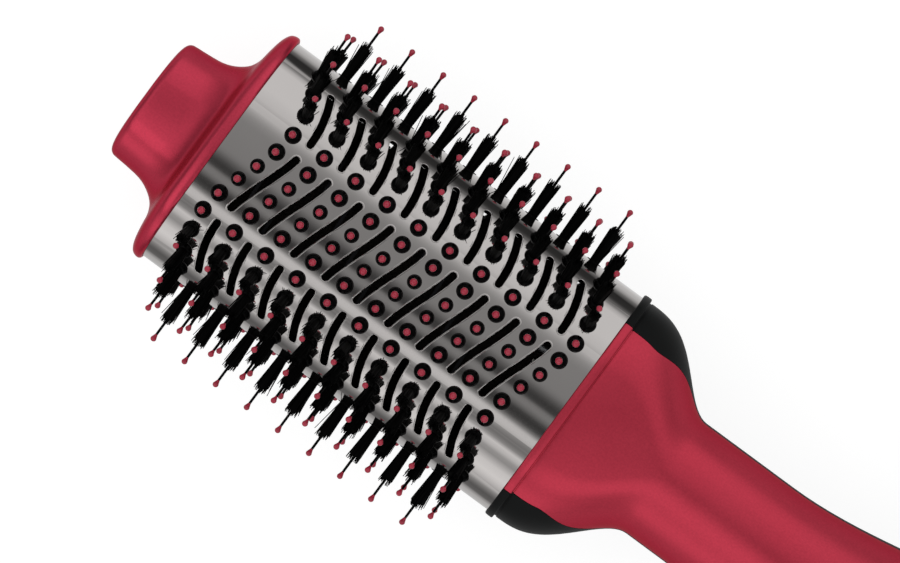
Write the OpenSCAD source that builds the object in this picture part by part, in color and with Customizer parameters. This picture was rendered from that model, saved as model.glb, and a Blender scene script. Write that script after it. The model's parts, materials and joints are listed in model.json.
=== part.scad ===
// Hot-air styling brush: an oval perforated barrel with pins and bristle tufts on a round handle.
// The brush lies along X with its tip towards -X and its handle towards +X. The front face looks
// up +Z and the brush rests on the tufts of its back face. The origin is under the middle of the
// brush. Lengths are in millimetres. Inside the modules X is counted from the end of the tip,
// and Y and Z from the axis.

/* [Barrel] */
// Width of the barrel across its round ends
barrel_w = 74.4; // [70:0.2:84]
// Thickness of the barrel between its flat faces
barrel_t = 44; // [40:0.2:48]
// Wall of the metal barrel
barrel_wall = 1; // [0.8:0.1:1.5]
// Length of barrel that shows between the cap and the collar
barrel_show = 121.2; // [120:0.2:140]
// Columns of pins along the barrel
cols = 10; // [8:1:10]
// Distance between the columns
col_pitch = 10.95; // [10.2:0.05:11.05]
// Distance of the first row of pins from the middle of the face, along the surface
row_first = 3; // [2.9:0.05:3.4]
// Distance between the rows in the middle of the face, along the surface
row_pitch = 6.3; // [6.1:0.05:6.7]
// How much farther apart each row stands than the one before it
row_spread = 0.07; // [0:0.01:0.1]
// How far the rows wander along the barrel
wave_shift = 4.05; // [0:0.05:4.6]
// Distance from the middle of the face at which the rows stop wandering
wave_len = 34; // [28:0.5:38]
// Width of the air slots
slot_w = 2.3; // [1.5:0.1:2.5]

/* [Pins and bristles] */
// Diameter of the bosses that carry the pins
boss_d = 4.7; // [4:0.1:5]
// Diameter of the bosses in the two middle rows
boss_mid_d = 4; // [3.4:0.1:4.6]
// Height of a boss above the barrel
boss_h = 1.3; // [0.8:0.1:1.8]
// Height of the bosses on the side of the barrel
edge_boss_h = 0.6; // [0.4:0.1:1.3]
// Height of a face pin above the barrel
pin_h = 8.5; // [7:0.1:10]
// Height of the pin in a tuft above the barrel
tuft_pin_h = 18.1; // [15:0.1:20]
// Diameter of a pin
pin_d = 0.9; // [0.7:0.1:1.4]
// Diameter of the ball on a pin
ball_d = 1.8; // [1.6:0.1:2.4]
// Height of the bristles above the barrel
bristle_h = 11.6; // [9:0.1:14]
// Thickness of one strand of bristles
strand_d = 1.2; // [0.8:0.1:1.3]
// Strands in one tuft
strands = 3; // [3:1:3]
// How far a strand leans away from its pin, in degrees
strand_lean = 6; // [2:0.5:8]
// Wall of the carriers that hold the pins
carrier_t = 1.2; // [1:0.1:1.6]
// Gap between the barrel and what lies inside it
barrel_fit = 0.3; // [0.2:0.05:0.4]
// Gap around a boss in its hole
boss_fit = 0.15; // [0.1:0.05:0.3]

/* [Cap] */
// Length of the cap from its end to the edge of its rim
cap_len = 26.1; // [24:0.1:32]
// Width of the cap's nose
nose_w = 38.8; // [34:0.2:42]
// Thickness of the cap's nose
nose_t = 27; // [24:0.2:30]
// Radius of the hollow flare between the nose and the rim
flare_r = 8.6; // [7:0.1:9.5]
// Thickness of the rim along the brush
rim_len = 4.4; // [4:0.1:5]
// How far the rim stands out past the barrel
rim_proud = 1.3; // [1.2:0.1:1.8]
// Wall of the cap
cap_wall = 1.8; // [1.4:0.1:2.4]
// How far the barrel's end reaches into the cap
cap_lap = 1.9; // [1.5:0.1:2.2]

/* [Handle] */
// Width of the collar band along the brush
band_len = 2.3; // [1.8:0.1:3]
// How far the collar band stands out past the barrel
band_proud = 1.2; // [1.1:0.1:1.6]
// Width of the groove behind the collar band
band_groove = 0.8; // [0.5:0.1:1]
// Length of the shoulder between the collar and the neck
shoulder_len = 32; // [30:0.5:40]
// Radius of the neck
neck_r = 19.3; // [18.5:0.1:20.5]
// Length of the straight neck
neck_len = 30.6; // [29:0.2:40]
// Length over which the neck swells to the fan bay
swell_len = 84; // [80:0.5:92]
// Radius of the handle round the fan
bay_r = 30.5; // [30:0.1:32]
// Length of the fan bay
bay_len = 24; // [23.6:0.2:32]
// Radius of the handle beside the dial
end_r = 28.4; // [28:0.1:28.8]
// Wall of the handle shells
shell_wall = 2; // [1.6:0.1:2.4]
// Angle of the joint between cover and shell at the collar
joint_angle = 55; // [40:1:60]
// Gap in the joint between cover and shell
joint_gap = 0.2; // [0.1:0.05:0.3]

/* [Fan and motor] */
// Radius of the motor
motor_r = 13.8; // [12.8:0.1:14]
// Length of the motor
motor_len = 32; // [28:0.5:32]
// Radius of the motor shaft
shaft_r = 1.15; // [1:0.05:1.5]
// Radius of the impeller over its blades
fan_r = 21.4; // [20:0.1:21.6]
// Radius of the impeller's hub
hub_r = 8.5; // [7:0.1:10]
// Number of blades
blades = 7; // [5:1:9]
// Number of guide vanes behind the impeller
vanes = 9; // [7:2:11]
// Gap between the blades and the housing
fan_gap = 0.6; // [0.5:0.05:0.8]
// Wall of the fan housing
housing_wall = 1.5; // [1.2:0.1:1.8]

/* [Dial and end cap] */
// Length of the dial ring along the handle
dial_len = 12; // [10:0.2:14]
// Travel of the dial from off to high, in degrees
dial_travel = 90; // [60:5:100]
// Number of grip flutes around the dial
flutes = 30; // [24:2:36]
// Gap beside the dial
dial_gap = 0.4; // [0.3:0.05:0.6]
// Radius of the end cap's neck that the dial turns on
spigot_r = 24.2; // [24:0.1:24.8]
// Length of the end cap
end_len = 27.6; // [26:0.2:32]
// Number of air inlet slots
inlets = 28; // [20:2:32]
// Radius of the flat face at the end of the handle
end_flat_r = 15; // [14:0.2:17]
// Radius of the cord that the gland takes
cord_r = 3.75; // [3:0.05:4]
// Radius of the gland where it turns in the end cap
gland_r = 6.2; // [5.8:0.1:7]
// How far the gland stands out of the end cap
gland_out = 6; // [4:0.2:8]

/* [Hidden] */
$fn = 48;

// Barrel section: flat half-width and half-thickness, its surface measured from the middle of a face
half_w = barrel_w / 2;
half_t = barrel_t / 2;
flat_w = half_w - half_t;
side_s = flat_w + half_t * PI / 2;

// Places along the brush, from the end of the tip
x_rim = cap_len;
barrel_x0 = x_rim - cap_lap;
x_collar = x_rim + barrel_show;
collar_lap = 0.1;
barrel_stop = 0.2;
groove_ramp = 0.6;
collar_step = x_collar + band_len + collar_lap;
barrel_x1 = collar_step - barrel_stop;
x_shoulder = x_collar + band_len + band_groove + groove_ramp;
x_neck = x_shoulder + shoulder_len;
x_swell = x_neck + neck_len;
x_bay = x_swell + swell_len;
x_dial = x_bay + bay_len;
x_end = x_dial + dial_gap + dial_len + dial_gap;
x_tail = x_end + end_len;
total_len = x_tail + gland_out;
pattern_shift = 0.42;
pattern_x = x_rim + barrel_show / 2 - pattern_shift;

// Height of the axis over the surface that the brush rests on: the tips of the back face's
// first row of tufts, or its pins where they stand taller
rest_q = (row_s(3) - flat_w) / half_t * 180 / PI;
axis_h = max(half_t + pin_h,
  (half_t + tuft_pin_h - ball_d / 2) * cos(rest_q) + ball_d / 2);

// Cap and collar
rim_w = half_w + rim_proud;
nose_end_r = 2.4;
cap_fit = 0.25;
cap_recess = half_w + cap_fit;
cap_post_r = 2.6;
rim_edge = 0.4;
flare_step = 0.9;
rim_round = 4.6;
band_chamfer = 0.4;
band_sink = 0.1;
sleeve_fit = 0.2;
bracket_t = 3.3;
inner_w = half_w - barrel_wall - barrel_fit;
inner_t = half_t - barrel_wall - barrel_fit;
carrier_gap = 0.3;

// Carriers under the barrel, and the span along the brush that they fill
carrier_out = barrel_wall + barrel_fit;
carrier_x0 = barrel_x0 + bracket_t + carrier_gap;
socket_lap = 6.6;
carrier_x1 = barrel_x1 - socket_lap - carrier_gap;
carrier_slot_more = 0.6;
pin_rows = 3;
tuft_rows = 3;
carrier_split = (row_s(pin_rows - 1) + row_s(pin_rows)) / 2;
split_gap = 0.3;

// Heater
groove_deep = 0.8;
groove_fit = 0.1;
board_stop = 1;
heater_x0 = barrel_x0 + bracket_t - groove_deep + groove_fit;
heater_x1 = barrel_x1 - board_stop;
mica_t = 1;
heater_room_w = 9.2;
heater_room_t = 7;
mica_half_w = half_w - heater_room_w;
mica_rod_gap = 0.2;
mica_y = 14;
mica_half_t = half_t - heater_room_t;
wire_t = 0.9;
wire_turns = 12;
wire_gap = 0.3;
wire_start = 4;
wire_end = 18;
stat_w = 10;
stat_t = 4;
stat_disc_t = 1.6;
stat_place = 16;
fuse_r = 2;
fuse_len = 10;
fuse_lead_r = 0.4;
fuse_lead_len = 6;
fuse_y = 9;
rod_r = 1.5;
rod_head_r = 2.7;
rod_head_t = 1.6;
rod_fit = 0.1;
rod_head_fit = 0.2;
rod_in = 5.7;
rod_end = 3;
rod_y = half_w - rod_in;
mica_wing_w = rod_y - rod_r - mica_rod_gap;
tip_screw_y = nose_w / 4;
tip_screw_r = 1.05;
tip_screw_fit = 0.3;
tip_screw_len = 8;
tip_bite = 0.05;
tip_head_r = 2.4;
tip_head_t = 1.8;
tip_head_room = 0.6;

// Plug behind the barrel, and the screws that join the shells
socket_wall = 3.6;
socket_flange = 1;
socket_reach = 5;
lug_w = 3.6;
lug_lap = 1.2;
lug_room = 2;
rod_boss = 1.6;
shell_fit = 0.3;
post_r = 3;
post_sink = 0.8;
screw_r = 1.5;
screw_bite = 0.1;
screw_hole = 0.15;
screw_reach = 10;
screw_head_r = 2.8;
screw_head_t = 2;
screw_head_fit = 0.2;
screw_deep = 5.5;
screw_places = [7.2, 39.2, 9.5];

// Fan bay
fan_clear = 0.2;
duct_r = fan_r + fan_gap;
housing_r = duct_r + housing_wall;
spigot_len = 12.6;
spigot_x0 = x_dial - spigot_len;
impeller_len = 11;
impeller_room = 2.5;
impeller_x0 = spigot_x0 - impeller_len - impeller_room;
nose_len = 2;
nose_round = 3;
vane_room = 20;
housing_room = 0.6;
housing_x0 = impeller_x0 - vane_room;
housing_x1 = spigot_x0 - housing_room;
motor_room = 4;
motor_x1 = impeller_x0 - motor_room;
motor_x0 = motor_x1 - motor_len;
sleeve_t = 1.1;
sleeve_fit_r = 0.1;
sleeve_bite = 0.05;
cup_r = motor_r + sleeve_t + sleeve_fit_r;
cup_wall = 1.2;
cup_len = 26;
cup_x0 = motor_x1 - cup_len;
vane_len = 16;
vane_t = 1.2;
vane_lean = 18;
boss_step_r = 4;
boss_step_len = 1.5;
boss_back_len = 2;
shaft_deep = 12;
rib_t = 1.6;
rib_fit = 0.3;
flange_rib_t = 1.7;
rib_places = [3, 6];
screw_x = [x_neck + screw_places[0], x_neck + screw_places[1], motor_x0 - screw_places[2]];

// End cap, dial and gland
spigot_wall = 2;
dial_fit = 0.3;
dial_wall = 3;
dial_in_r = spigot_r + dial_fit;
// The handle beside the dial is never too small for the dial ring's own wall
dial_out_r = max(end_r, dial_in_r + dial_wall);
flange_fit = 0.6;
flange_r = dial_out_r - shell_wall - flange_fit;
flange_t = 2.4;
finger_r = 1.5;
finger_fit = 0.4;
finger_x = x_dial + dial_gap + dial_len * 0.55;
finger_deep = 3.4;
finger_end = spigot_r - spigot_wall - finger_deep;
slider_t = 2.6;
slider_half = 2.3;
slider_fit = 0.3;
slider_ang = 16;
slot_ang = 7;
switch_half = 5;
switch_wall = 1.6;
switch_fit = 0.05;
contact_t = 2.4;
contact_half = 1.2;
flute_r = 1.5;
flute_out = 0.9;
flute_end = 2;
notch_r = 0.9;
notch_len = 2.6;
notch_x = 1.6;
end_wall = 2;
dome_len = 15;
inlet_w = 1.8;
inlet_room = 2.5;
inlet_len = 12;
filter_t = 1.2;
filter_lip = 0.5;
filter_ledge = 1.5;
filter_fit = 0.1;
filter_rim = 2;
filter_hub = [5, 7];
filter_rings = 3;
filter_wire = 0.7;
spring_x = x_dial + dial_gap + 1.8;
spring_w = 6;
spring_t = 0.4;
spring_len = 2.2;
spring_fit = 0.1;
nose_half = 0.9;
pocket_deep = 0.9;
clip_wall = 2.4;
clip_t = 1.5;
clip_gap = 0.3;
gland_fit = 0.08;
gland_head = 1.6;
gland_head_t = 1.8;
gland_head_fit = 0.3;
gland_wall = 1.6;
gland_seat = 4.5;
gland_inner = 9;

// Numbers that follow a smooth step from 0 to 1
function clamp01(t) = min(1, max(0, t));
function smooth(t) = let (u = clamp01(t)) u * u * (3 - 2 * u);

// Half-width, half-thickness and joint angle of the handle at a place along the brush
function shoulder_t(x) = clamp01((x - x_shoulder) / shoulder_len);
function handle_round(x) =
  x < x_bay ? neck_r + (bay_r - neck_r) * smooth((x - x_swell) / swell_len)
            : bay_r + (dial_out_r - bay_r) * smooth((x - x_bay) / bay_len);
function shell_half_w(x) =
  let (k = smooth(pow(shoulder_t(x), 1.4))) (half_w + sleeve_fit) * (1 - k) + handle_round(x) * k;
function shell_half_t(x) =
  let (k = smooth(shoulder_t(x))) (half_t + sleeve_fit) * (1 - k) + handle_round(x) * k;
function joint_at(x) = joint_angle * (1 - smooth(pow(shoulder_t(x), 1.6)));

// A place on the barrel's front face at a distance s from its middle line: [y, z, angle of the normal]
function skin(s, out = 0) =
  let (a = abs(s), side = s < 0 ? -1 : 1, q = a <= flat_w ? 0 : (a - flat_w) / half_t * 180 / PI)
  [side * (min(a, flat_w) + (half_t + out) * sin(q)), (half_t + out) * cos(q), side * q];

// Rows and columns of the pattern
function wave(s) = (s < 0 ? -1 : 1) * wave_shift * sin(180 * min(abs(s), wave_len) / wave_len);
function col_x(i) = pattern_x + (i - (cols - 1) / 2) * col_pitch;
function row_s(k) = row_first + k * (row_pitch + k * row_spread);

// Turns a section drawn in Y and Z to stand square to the brush's axis at x
module along(x) {
  translate([x, 0, 0]) rotate([90, 0, 90]) children();
}

// Stands a piece on the barrel's front face, its own Z pointing out of the face
module on_skin(x, s) {
  p = skin(s);
  translate([x, p[0], p[1]]) rotate([-p[2], 0, 0]) children();
}

// The whole brush is drawn from the tip and the axis, then moved over its resting place
module placed() {
  translate([-total_len / 2, 0, axis_h]) children();
}

module ring(r0, r1, x0, x1) {
  along(x0) difference() {
    cylinder(r = r1, h = x1 - x0);
    translate([0, 0, -1]) cylinder(r = r0, h = x1 - x0 + 2);
  }
}

module disc(r, x0, x1) {
  along(x0) cylinder(r = r, h = x1 - x0);
}

// Oval plate with round ends
module oval_plate(w, h, x0, x1) {
  f = w - h;
  along(x0) {
    translate([-f, -h, 0]) cube([2 * f, 2 * h, x1 - x0]);
    for (s = [1, -1])
      translate([s * f, 0, 0]) rotate([0, 0, -90 * s])
        rotate_extrude(angle = 180) square([h, x1 - x0]);
  }
}

// Oval tube of even wall: two flat plates and two half rings that meet face to face
module oval_tube(w, h, t, x0, x1) {
  f = w - h;
  along(x0) {
    for (z = [-h, h - t]) translate([-f, z, 0]) cube([2 * f, t, x1 - x0]);
    for (s = [1, -1])
      translate([s * f, 0, 0]) rotate([0, 0, -90 * s])
        rotate_extrude(angle = 180) translate([h - t, 0]) square([t, x1 - x0]);
  }
}

// Faces of a band of quads between row a and row b of points, closed around or open
function band_faces(a, b, n, closed) =
  [for (i = [0 : n - (closed ? 1 : 2)]) let (j = (i + 1) % n)
    each [[a + i, b + j, a + j], [a + i, b + i, b + j]]];

// Solid between rings of n points each, with a flat face over its first and last ring
module skinned(rings) {
  n = len(rings[0]);
  k = len(rings);
  polyhedron(
    points = [for (r = rings) each r],
    faces = concat(
      [[for (i = [0 : n - 1]) i]],
      [for (j = [0 : k - 2]) each band_faces(j * n, (j + 1) * n, n, true)],
      [[for (i = [n - 1 : -1 : 0]) (k - 1) * n + i]]));
}

// Points around an oval section at x, counted from below the right end
function oval_ring(x, w, h, n) =
  let (f = w - h) concat(
    [for (i = [0 : n - 1]) let (q = -90 + (i + 0.5) * 180 / n) [x, f + h * cos(q), h * sin(q)]],
    [for (i = [0 : n - 1]) let (q = 90 + (i + 0.5) * 180 / n) [x, -f + h * cos(q), h * sin(q)]]);

// Outline of the cap from the nose to the rim: [x, how far it has spread from nose to rim]
cap_steps = 6;
cap_outline = concat(
  [for (i = [0 : 3]) let (q = 90 * i / 3)
    [nose_end_r * (1 - cos(q)), -nose_end_r * (1 - sin(q))]],
  [for (i = [0 : cap_steps]) let (q = 84 * i / cap_steps)
    [cap_len - rim_len - flare_r * (1 - sin(q)), flare_step + flare_r * (1 - cos(q))]],
  [for (i = [1 : 4]) let (q = 90 * i / 4)
    [cap_len - rim_len + rim_edge / 2 + (rim_len - 3.5 * rim_edge) * (1 - cos(q)),
     (rim_w - nose_w / 2) - rim_round * (1 - sin(q))]],
  [[cap_len - rim_edge, rim_w - nose_w / 2], [cap_len, rim_w - nose_w / 2 - rim_edge]]);

// Half-thickness of the cap where its half-width is w
function cap_half_t(w) =
  nose_t / 2 + (half_t + rim_proud - nose_t / 2) * (w - nose_w / 2) / (rim_w - nose_w / 2);

function cap_ring(x, w, in, n) = oval_ring(x, w - in, cap_half_t(w) - in, n);

// The cap's hollow: a straight bore in the nose, a flare, and the recess that laps the barrel
cap_ledge = 1.9;
cap_hollow = [
  [cap_len, rim_w, rim_w - cap_recess],
  [barrel_x0 - barrel_stop, rim_w, rim_w - cap_recess],
  [barrel_x0 - barrel_stop, rim_w, rim_w - cap_recess + cap_ledge],
  [cap_len - rim_len + cap_wall + barrel_stop, rim_w - rim_len * 1.25, cap_wall * 1.45],
  [cap_len - rim_len * 1.34, nose_w / 2 + cap_wall * 0.67, cap_wall],
  [cap_wall * 1.55, nose_w / 2, cap_wall * 1.22],
  [cap_wall, nose_w / 2, cap_wall * 1.89],
];

module cool_tip() {
  n = 17;
  color("#A83045") placed() difference() {
    union() {
      skinned(concat(
        [for (p = cap_outline) cap_ring(p[0], nose_w / 2 + p[1], 0, n)],
        [for (p = cap_hollow) cap_ring(p[0], p[1], p[2], n)]));
      for (s = [1, -1]) translate([0, s * tip_screw_y, 0]) disc(cap_post_r, cap_wall * 0.67, barrel_x0);
    }
    for (s = [1, -1]) translate([0, s * tip_screw_y, 0])
      disc(tip_screw_r + tip_bite, barrel_x0 - tip_screw_len * 1.25, barrel_x0 + 1);
  }
}

module tip_bracket() {
  color("#2A2A2C") placed() difference() {
    oval_plate(inner_w, inner_t, barrel_x0, barrel_x0 + bracket_t);
    for (s = [1, -1]) {
      translate([0, s * tip_screw_y, 0])
        disc(tip_screw_r + tip_screw_fit, barrel_x0 - 1, barrel_x0 + bracket_t + 1);
      translate([0, s * rod_y, 0]) {
        disc(rod_r + rod_fit, barrel_x0 - 1, barrel_x0 + bracket_t + 1);
        disc(rod_head_r + rod_head_fit, barrel_x0 - 1, barrel_x0 + rod_head_t);
      }
    }
    mica_boards(groove_fit);
  }
}

// Two screws from inside the barrel through the bracket into the cap's posts
module tip_screws() {
  color("#8E9094") placed() for (s = [1, -1]) translate([0, s * tip_screw_y, 0]) {
    disc(tip_screw_r, barrel_x0 - tip_screw_len, barrel_x0 + bracket_t + tip_head_t / 2);
    disc(tip_head_r, barrel_x0 + bracket_t, barrel_x0 + bracket_t + tip_head_t);
  }
}

// Two rods that clamp bracket, barrel and socket together
module tie_rods() {
  color("#A9ABAE") placed() for (s = [1, -1]) translate([0, s * rod_y, 0]) {
    disc(rod_r, barrel_x0 + rod_head_t / 3, barrel_x1 + rod_end);
    disc(rod_head_r, barrel_x0 + rod_fit, barrel_x0 + rod_head_t);
  }
}

// One slot's middle line, from s0 to s1 around the face, seen square to a normal at angle q
function slot_line(s0, s1, q, n) =
  [for (i = [0 : n]) let (s = s0 + (s1 - s0) * i / n, p = skin(s))
    [wave(s), p[0] * cos(q) - p[1] * sin(q)]];

// A line thickened to a strip of width w with round ends
function heading(line, i) =
  let (a = line[max(0, i - 1)], b = line[min(len(line) - 1, i + 1)]) atan2(b[1] - a[1], b[0] - a[0]);
function strip(line, w) =
  let (n = len(line) - 1, h0 = heading(line, 0), h1 = heading(line, n)) concat(
    [for (i = [0 : n]) let (h = heading(line, i)) line[i] + w / 2 * [sin(h), -cos(h)]],
    [for (j = [1 : 3]) line[n] + w / 2 * [sin(h1 + 45 * j), -cos(h1 + 45 * j)]],
    [for (i = [n : -1 : 0]) let (h = heading(line, i)) line[i] - w / 2 * [sin(h), -cos(h)]],
    [for (j = [1 : 3]) line[0] - w / 2 * [sin(h0 + 45 * j), -cos(h0 + 45 * j)]]);

// Tool that cuts one slot, w wide, from s0 to s1 around the front face
slot_reach = 5;
module slot_tool(s0, s1, x, w) {
  q = (skin(s0)[2] + skin(s1)[2]) / 2;
  depth = skin((s0 + s1) / 2)[0] * sin(q) + skin((s0 + s1) / 2)[1] * cos(q);
  translate([x, 0, 0]) rotate([-q, 0, 0]) translate([0, 0, depth - slot_reach])
    linear_extrude(height = 1.6 * slot_reach) polygon(strip(slot_line(s0, s1, q, 6), w));
}

// The three bands of slots on the front face: one across the middle and one on each side
slot_mid = row_s(1) + 1.45;
slot_side = [row_s(2) + 0.7, row_s(4) + 2.9];
module face_slots(w) {
  for (i = [0 : cols - 2]) {
    x = (col_x(i) + col_x(i + 1)) / 2;
    slot_tool(-slot_mid, slot_mid, x, w);
    for (s = [1, -1]) slot_tool(s * slot_side[0], s * slot_side[1], x, w);
  }
}

// Calls its children at every pin of a band of rows on the front face
module at_rows(k0, k1, side) {
  for (k = [k0 : k1], i = [0 : cols - 1])
    on_skin(col_x(i) + side * wave(row_s(k)), side * row_s(k)) {
      $row = k;
      $turn = 37 * i + 60 * k;
      children();
    }
}

// The same on the side of the barrel, between the columns
module at_edge() {
  for (i = [0 : cols - 2])
    on_skin((col_x(i) + col_x(i + 1)) / 2, side_s) {
      $row = tuft_rows + pin_rows;
      $turn = 37 * i;
      children();
    }
}

function boss_r(row) = (row == 0 ? boss_mid_d : boss_d) / 2;

module boss_hole(r) {
  translate([0, 0, -3 * barrel_wall]) cylinder(r = r + boss_fit, h = 6 * barrel_wall, $fn = 24);
}

module barrel() {
  color("#B9B5B0") placed() difference() {
    difference() {
      oval_tube(half_w, half_t, barrel_wall, barrel_x0, barrel_x1);
      for (a = [0, 180]) rotate([a, 0, 0]) face_slots(slot_w);
    }
    for (a = [0, 180]) rotate([a, 0, 0]) {
      for (side = [1, -1]) at_rows(0, pin_rows + tuft_rows - 1, side) boss_hole(boss_r($row));
      at_edge() boss_hole(boss_d / 2);
    }
  }
}

boss_bevel = 0.7;
boss_root = 0.5;
// The bosses of the edge rows stand lower than the others
function boss_up(row) = row == pin_rows + tuft_rows ? edge_boss_h : boss_h;
// Boss with its bevelled top, pin, and teardrop ball: r is the boss's radius, h the height of the
// tip over the barrel
module pin(r, h) {
  foot = carrier_out + carrier_t / 2;
  ball = ball_d / 2;
  up = boss_up($row);
  bevel = min(boss_bevel, up);
  $fn = 16;
  translate([0, 0, -foot]) cylinder(r = r, h = foot + up - bevel);
  translate([0, 0, up - bevel]) cylinder(r1 = r, r2 = r * 0.62, h = bevel);
  cylinder(r = pin_d / 2, h = h - ball);
  translate([0, 0, h - 2.6 * ball]) cylinder(r1 = pin_d * 0.55, r2 = ball * 0.92, h = 1.6 * ball);
  translate([0, 0, h - ball]) sphere(r = ball);
}

// Three-sided strand of bristles that leans out of the boss
module strand(h) {
  root = boss_up($row) - boss_root;
  base = boss_d * 0.31;
  top = base + (h - root) * tan(strand_lean);
  skinned([
    for (e = [[base, root, strand_d / 2], [top, h, strand_d * 0.4]])
      [for (q = [0 : 120 : 240]) [e[0] + e[2] * cos(q), e[2] * sin(q), e[1]]]
  ]);
}

module tuft() {
  pin(boss_r($row), tuft_pin_h);
  for (j = [0 : strands - 1]) rotate([0, 0, $turn + 360 * j / strands])
    strand(bristle_h * [1, 0.93, 1.05][j % 3]);
}

// Strip of the carrier tube between y0 and y1, of one face or of both
module carrier_strip(y0, y1, z0) {
  intersection() {
    oval_tube(half_w - carrier_out, half_t - carrier_out, carrier_t, carrier_x0, carrier_x1);
    translate([carrier_x0 - 1, y0, z0]) cube([carrier_x1 - carrier_x0 + 2, y1 - y0, half_t - z0]);
  }
}

split_y = skin(carrier_split)[0];

module pin_insert() {
  difference() {
    carrier_strip(-split_y + split_gap / 2, split_y - split_gap / 2, 0);
    face_slots(slot_w + carrier_slot_more);
  }
  for (side = [1, -1]) at_rows(0, pin_rows - 1, side) pin(boss_r($row), pin_h);
}

module front_pin_insert() {
  color("#191A1B") placed() pin_insert();
}

module back_pin_insert() {
  color("#191A1B") placed() rotate([180, 0, 0]) pin_insert();
}

// Carrier round one side of the barrel, with three rows of tufts on each face and one on the side
module tuft_insert() {
  difference() {
    carrier_strip(split_y + split_gap / 2, half_w, -half_t);
    face_slots(slot_w + carrier_slot_more);
    rotate([180, 0, 0]) face_slots(slot_w + carrier_slot_more);
  }
  at_rows(pin_rows, pin_rows + tuft_rows - 1, 1) tuft();
  rotate([180, 0, 0]) at_rows(pin_rows, pin_rows + tuft_rows - 1, -1) tuft();
  at_edge() tuft();
}

module left_tuft_insert() {
  color("#131313") placed() tuft_insert();
}

module right_tuft_insert() {
  color("#131313") placed() rotate([180, 0, 0]) tuft_insert();
}

// Three crossed boards, larger by fit on every side
module mica_boards(fit) {
  long = heater_x1 - heater_x0 + 2 * fit;
  translate([heater_x0 - fit, -mica_half_w - fit, -mica_t / 2 - fit])
    cube([long, 2 * (mica_half_w + fit), mica_t + 2 * fit]);
  for (s = [1, -1]) translate([heater_x0 - fit, s * mica_y - mica_t / 2 - fit, -mica_half_t - fit])
    cube([long, mica_t + 2 * fit, 2 * (mica_half_t + fit)]);
}

// Boards of mica that hold the wire, cut out round the heads of the tip screws. Between bracket and
// socket the middle board reaches almost to the rods, with a notch for each turn of the wire
module mica_frame() {
  color("#C9B68C") placed() difference() {
    union() {
      mica_boards(0);
      translate([carrier_x0, -mica_wing_w, -mica_t / 2])
        cube([carrier_x1 - carrier_x0, 2 * mica_wing_w, mica_t]);
    }
    for (s = [1, -1])
      translate([heater_x0 - 1, s * tip_screw_y - tip_head_r - tip_head_room, -mica_t])
        cube([bracket_t + tip_head_t, 2 * (tip_head_r + tip_head_room), 2 * mica_t]);
    for (i = [0 : 2 * wire_turns])
      translate([heater_x0 + wire_start + i / 2 * wire_pitch - wire_t / 2 - wire_gap,
                 i % 2 == 0 ? mica_half_w : -mica_half_w - mica_wing_w, -mica_t])
        cube([wire_t + 2 * wire_gap, mica_wing_w, 2 * mica_t]);
  }
}

// Corners of one turn of the heating wire: it lies square over each board's edge, and runs
// straight from edge to edge
wire_out = wire_gap + wire_t / 2;
wire_half = wire_gap + mica_t / 2;
wire_quarter = [
  [mica_half_w + wire_out, wire_half],
  [mica_y + wire_half, mica_half_t + wire_out], [mica_y - wire_half, mica_half_t + wire_out],
];
wire_corners = [
  for (e = [[1, 1], [-1, 1], [-1, -1], [1, -1]])
    each [for (p = e[0] * e[1] > 0 ? wire_quarter : flipped(wire_quarter)) [e[0] * p[0], e[1] * p[1]]]
];
// Steps of the way along the brush from corner to corner: none across an edge
wire_steps = [0, 1, 1, 2, 2, 3, 3, 4, 4, 5, 5, 6];
wire_pitch = (heater_x1 - heater_x0 - wire_start - wire_end) / wire_turns;

// The wire is one unbroken four-sided tube whose turns lie a pitch apart
module heating_wire() {
  echo(least_gap_between_turns = wire_pitch - wire_t);
  h = wire_t / 2;
  color("#8A8D92") placed() skinned([
    for (i = [0 : 12 * wire_turns])
      let (c = wire_corners[i % 12], a = atan2(c[1], c[0]),
           x = heater_x0 + wire_start + (floor(i / 12) + wire_steps[i % 12] / 6) * wire_pitch)
      [for (e = [[-h, -h], [h, -h], [h, h], [-h, h]])
        [x + e[0], c[0] + e[1] * cos(a), c[1] + e[1] * sin(a)]]
  ]);
}

// Bimetal thermostat that stands on the middle board
module thermostat() {
  x = heater_x1 - stat_place;
  color("#D8D5CC") placed() {
    translate([x, -stat_w / 2, mica_t / 2]) cube([stat_w, stat_w, stat_t]);
    translate([x + stat_w / 2, 0, mica_t / 2 + stat_t]) cylinder(r = stat_w * 0.4, h = stat_disc_t);
  }
}

// One-shot fuse with its two leads, lying on the middle board
module thermal_fuse() {
  x0 = heater_x1 - fuse_len * 1.8;
  color("#C8CBCF") placed() translate([0, fuse_y, mica_t / 2 + fuse_r + groove_fit]) {
    disc(fuse_r, x0, x0 + fuse_len);
    disc(fuse_lead_r, x0 - fuse_lead_len, x0 + fuse_len + fuse_lead_len);
  }
}

// Plug that the barrel slides on, with a flange that the shells clamp
module barrel_socket() {
  x0 = carrier_x1 + carrier_gap;
  x1 = x_shoulder + socket_reach;
  lug_h = inner_t - mica_half_t - lug_room;
  shell_in = shell_wall + shell_fit;
  color("#232426") placed() difference() {
    union() {
      difference() {
        union() {
          oval_plate(inner_w, inner_t, x0, barrel_x1);
          oval_plate(half_w - shell_in, half_t - shell_in, barrel_x1 - socket_flange, x1);
        }
        oval_plate(inner_w - socket_wall, inner_t - socket_wall, x0 - 1, x1 + 1);
      }
      for (s = [1, -1]) {
        translate([0, s * rod_y, 0]) disc(rod_r + rod_boss, x0, barrel_x1);
        // grooved lugs that hold the ends of the two upright boards
        for (z = [mica_half_t - lug_lap, lug_lap - mica_half_t - lug_h])
          translate([x0, s * mica_y - lug_w / 2, z]) cube([barrel_x1 - x0, lug_w, lug_h]);
      }
    }
    for (s = [1, -1]) translate([0, s * rod_y, 0]) disc(rod_r + rod_fit, x0 - 1, x1 + 1);
    mica_boards(groove_fit);
  }
}

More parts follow.
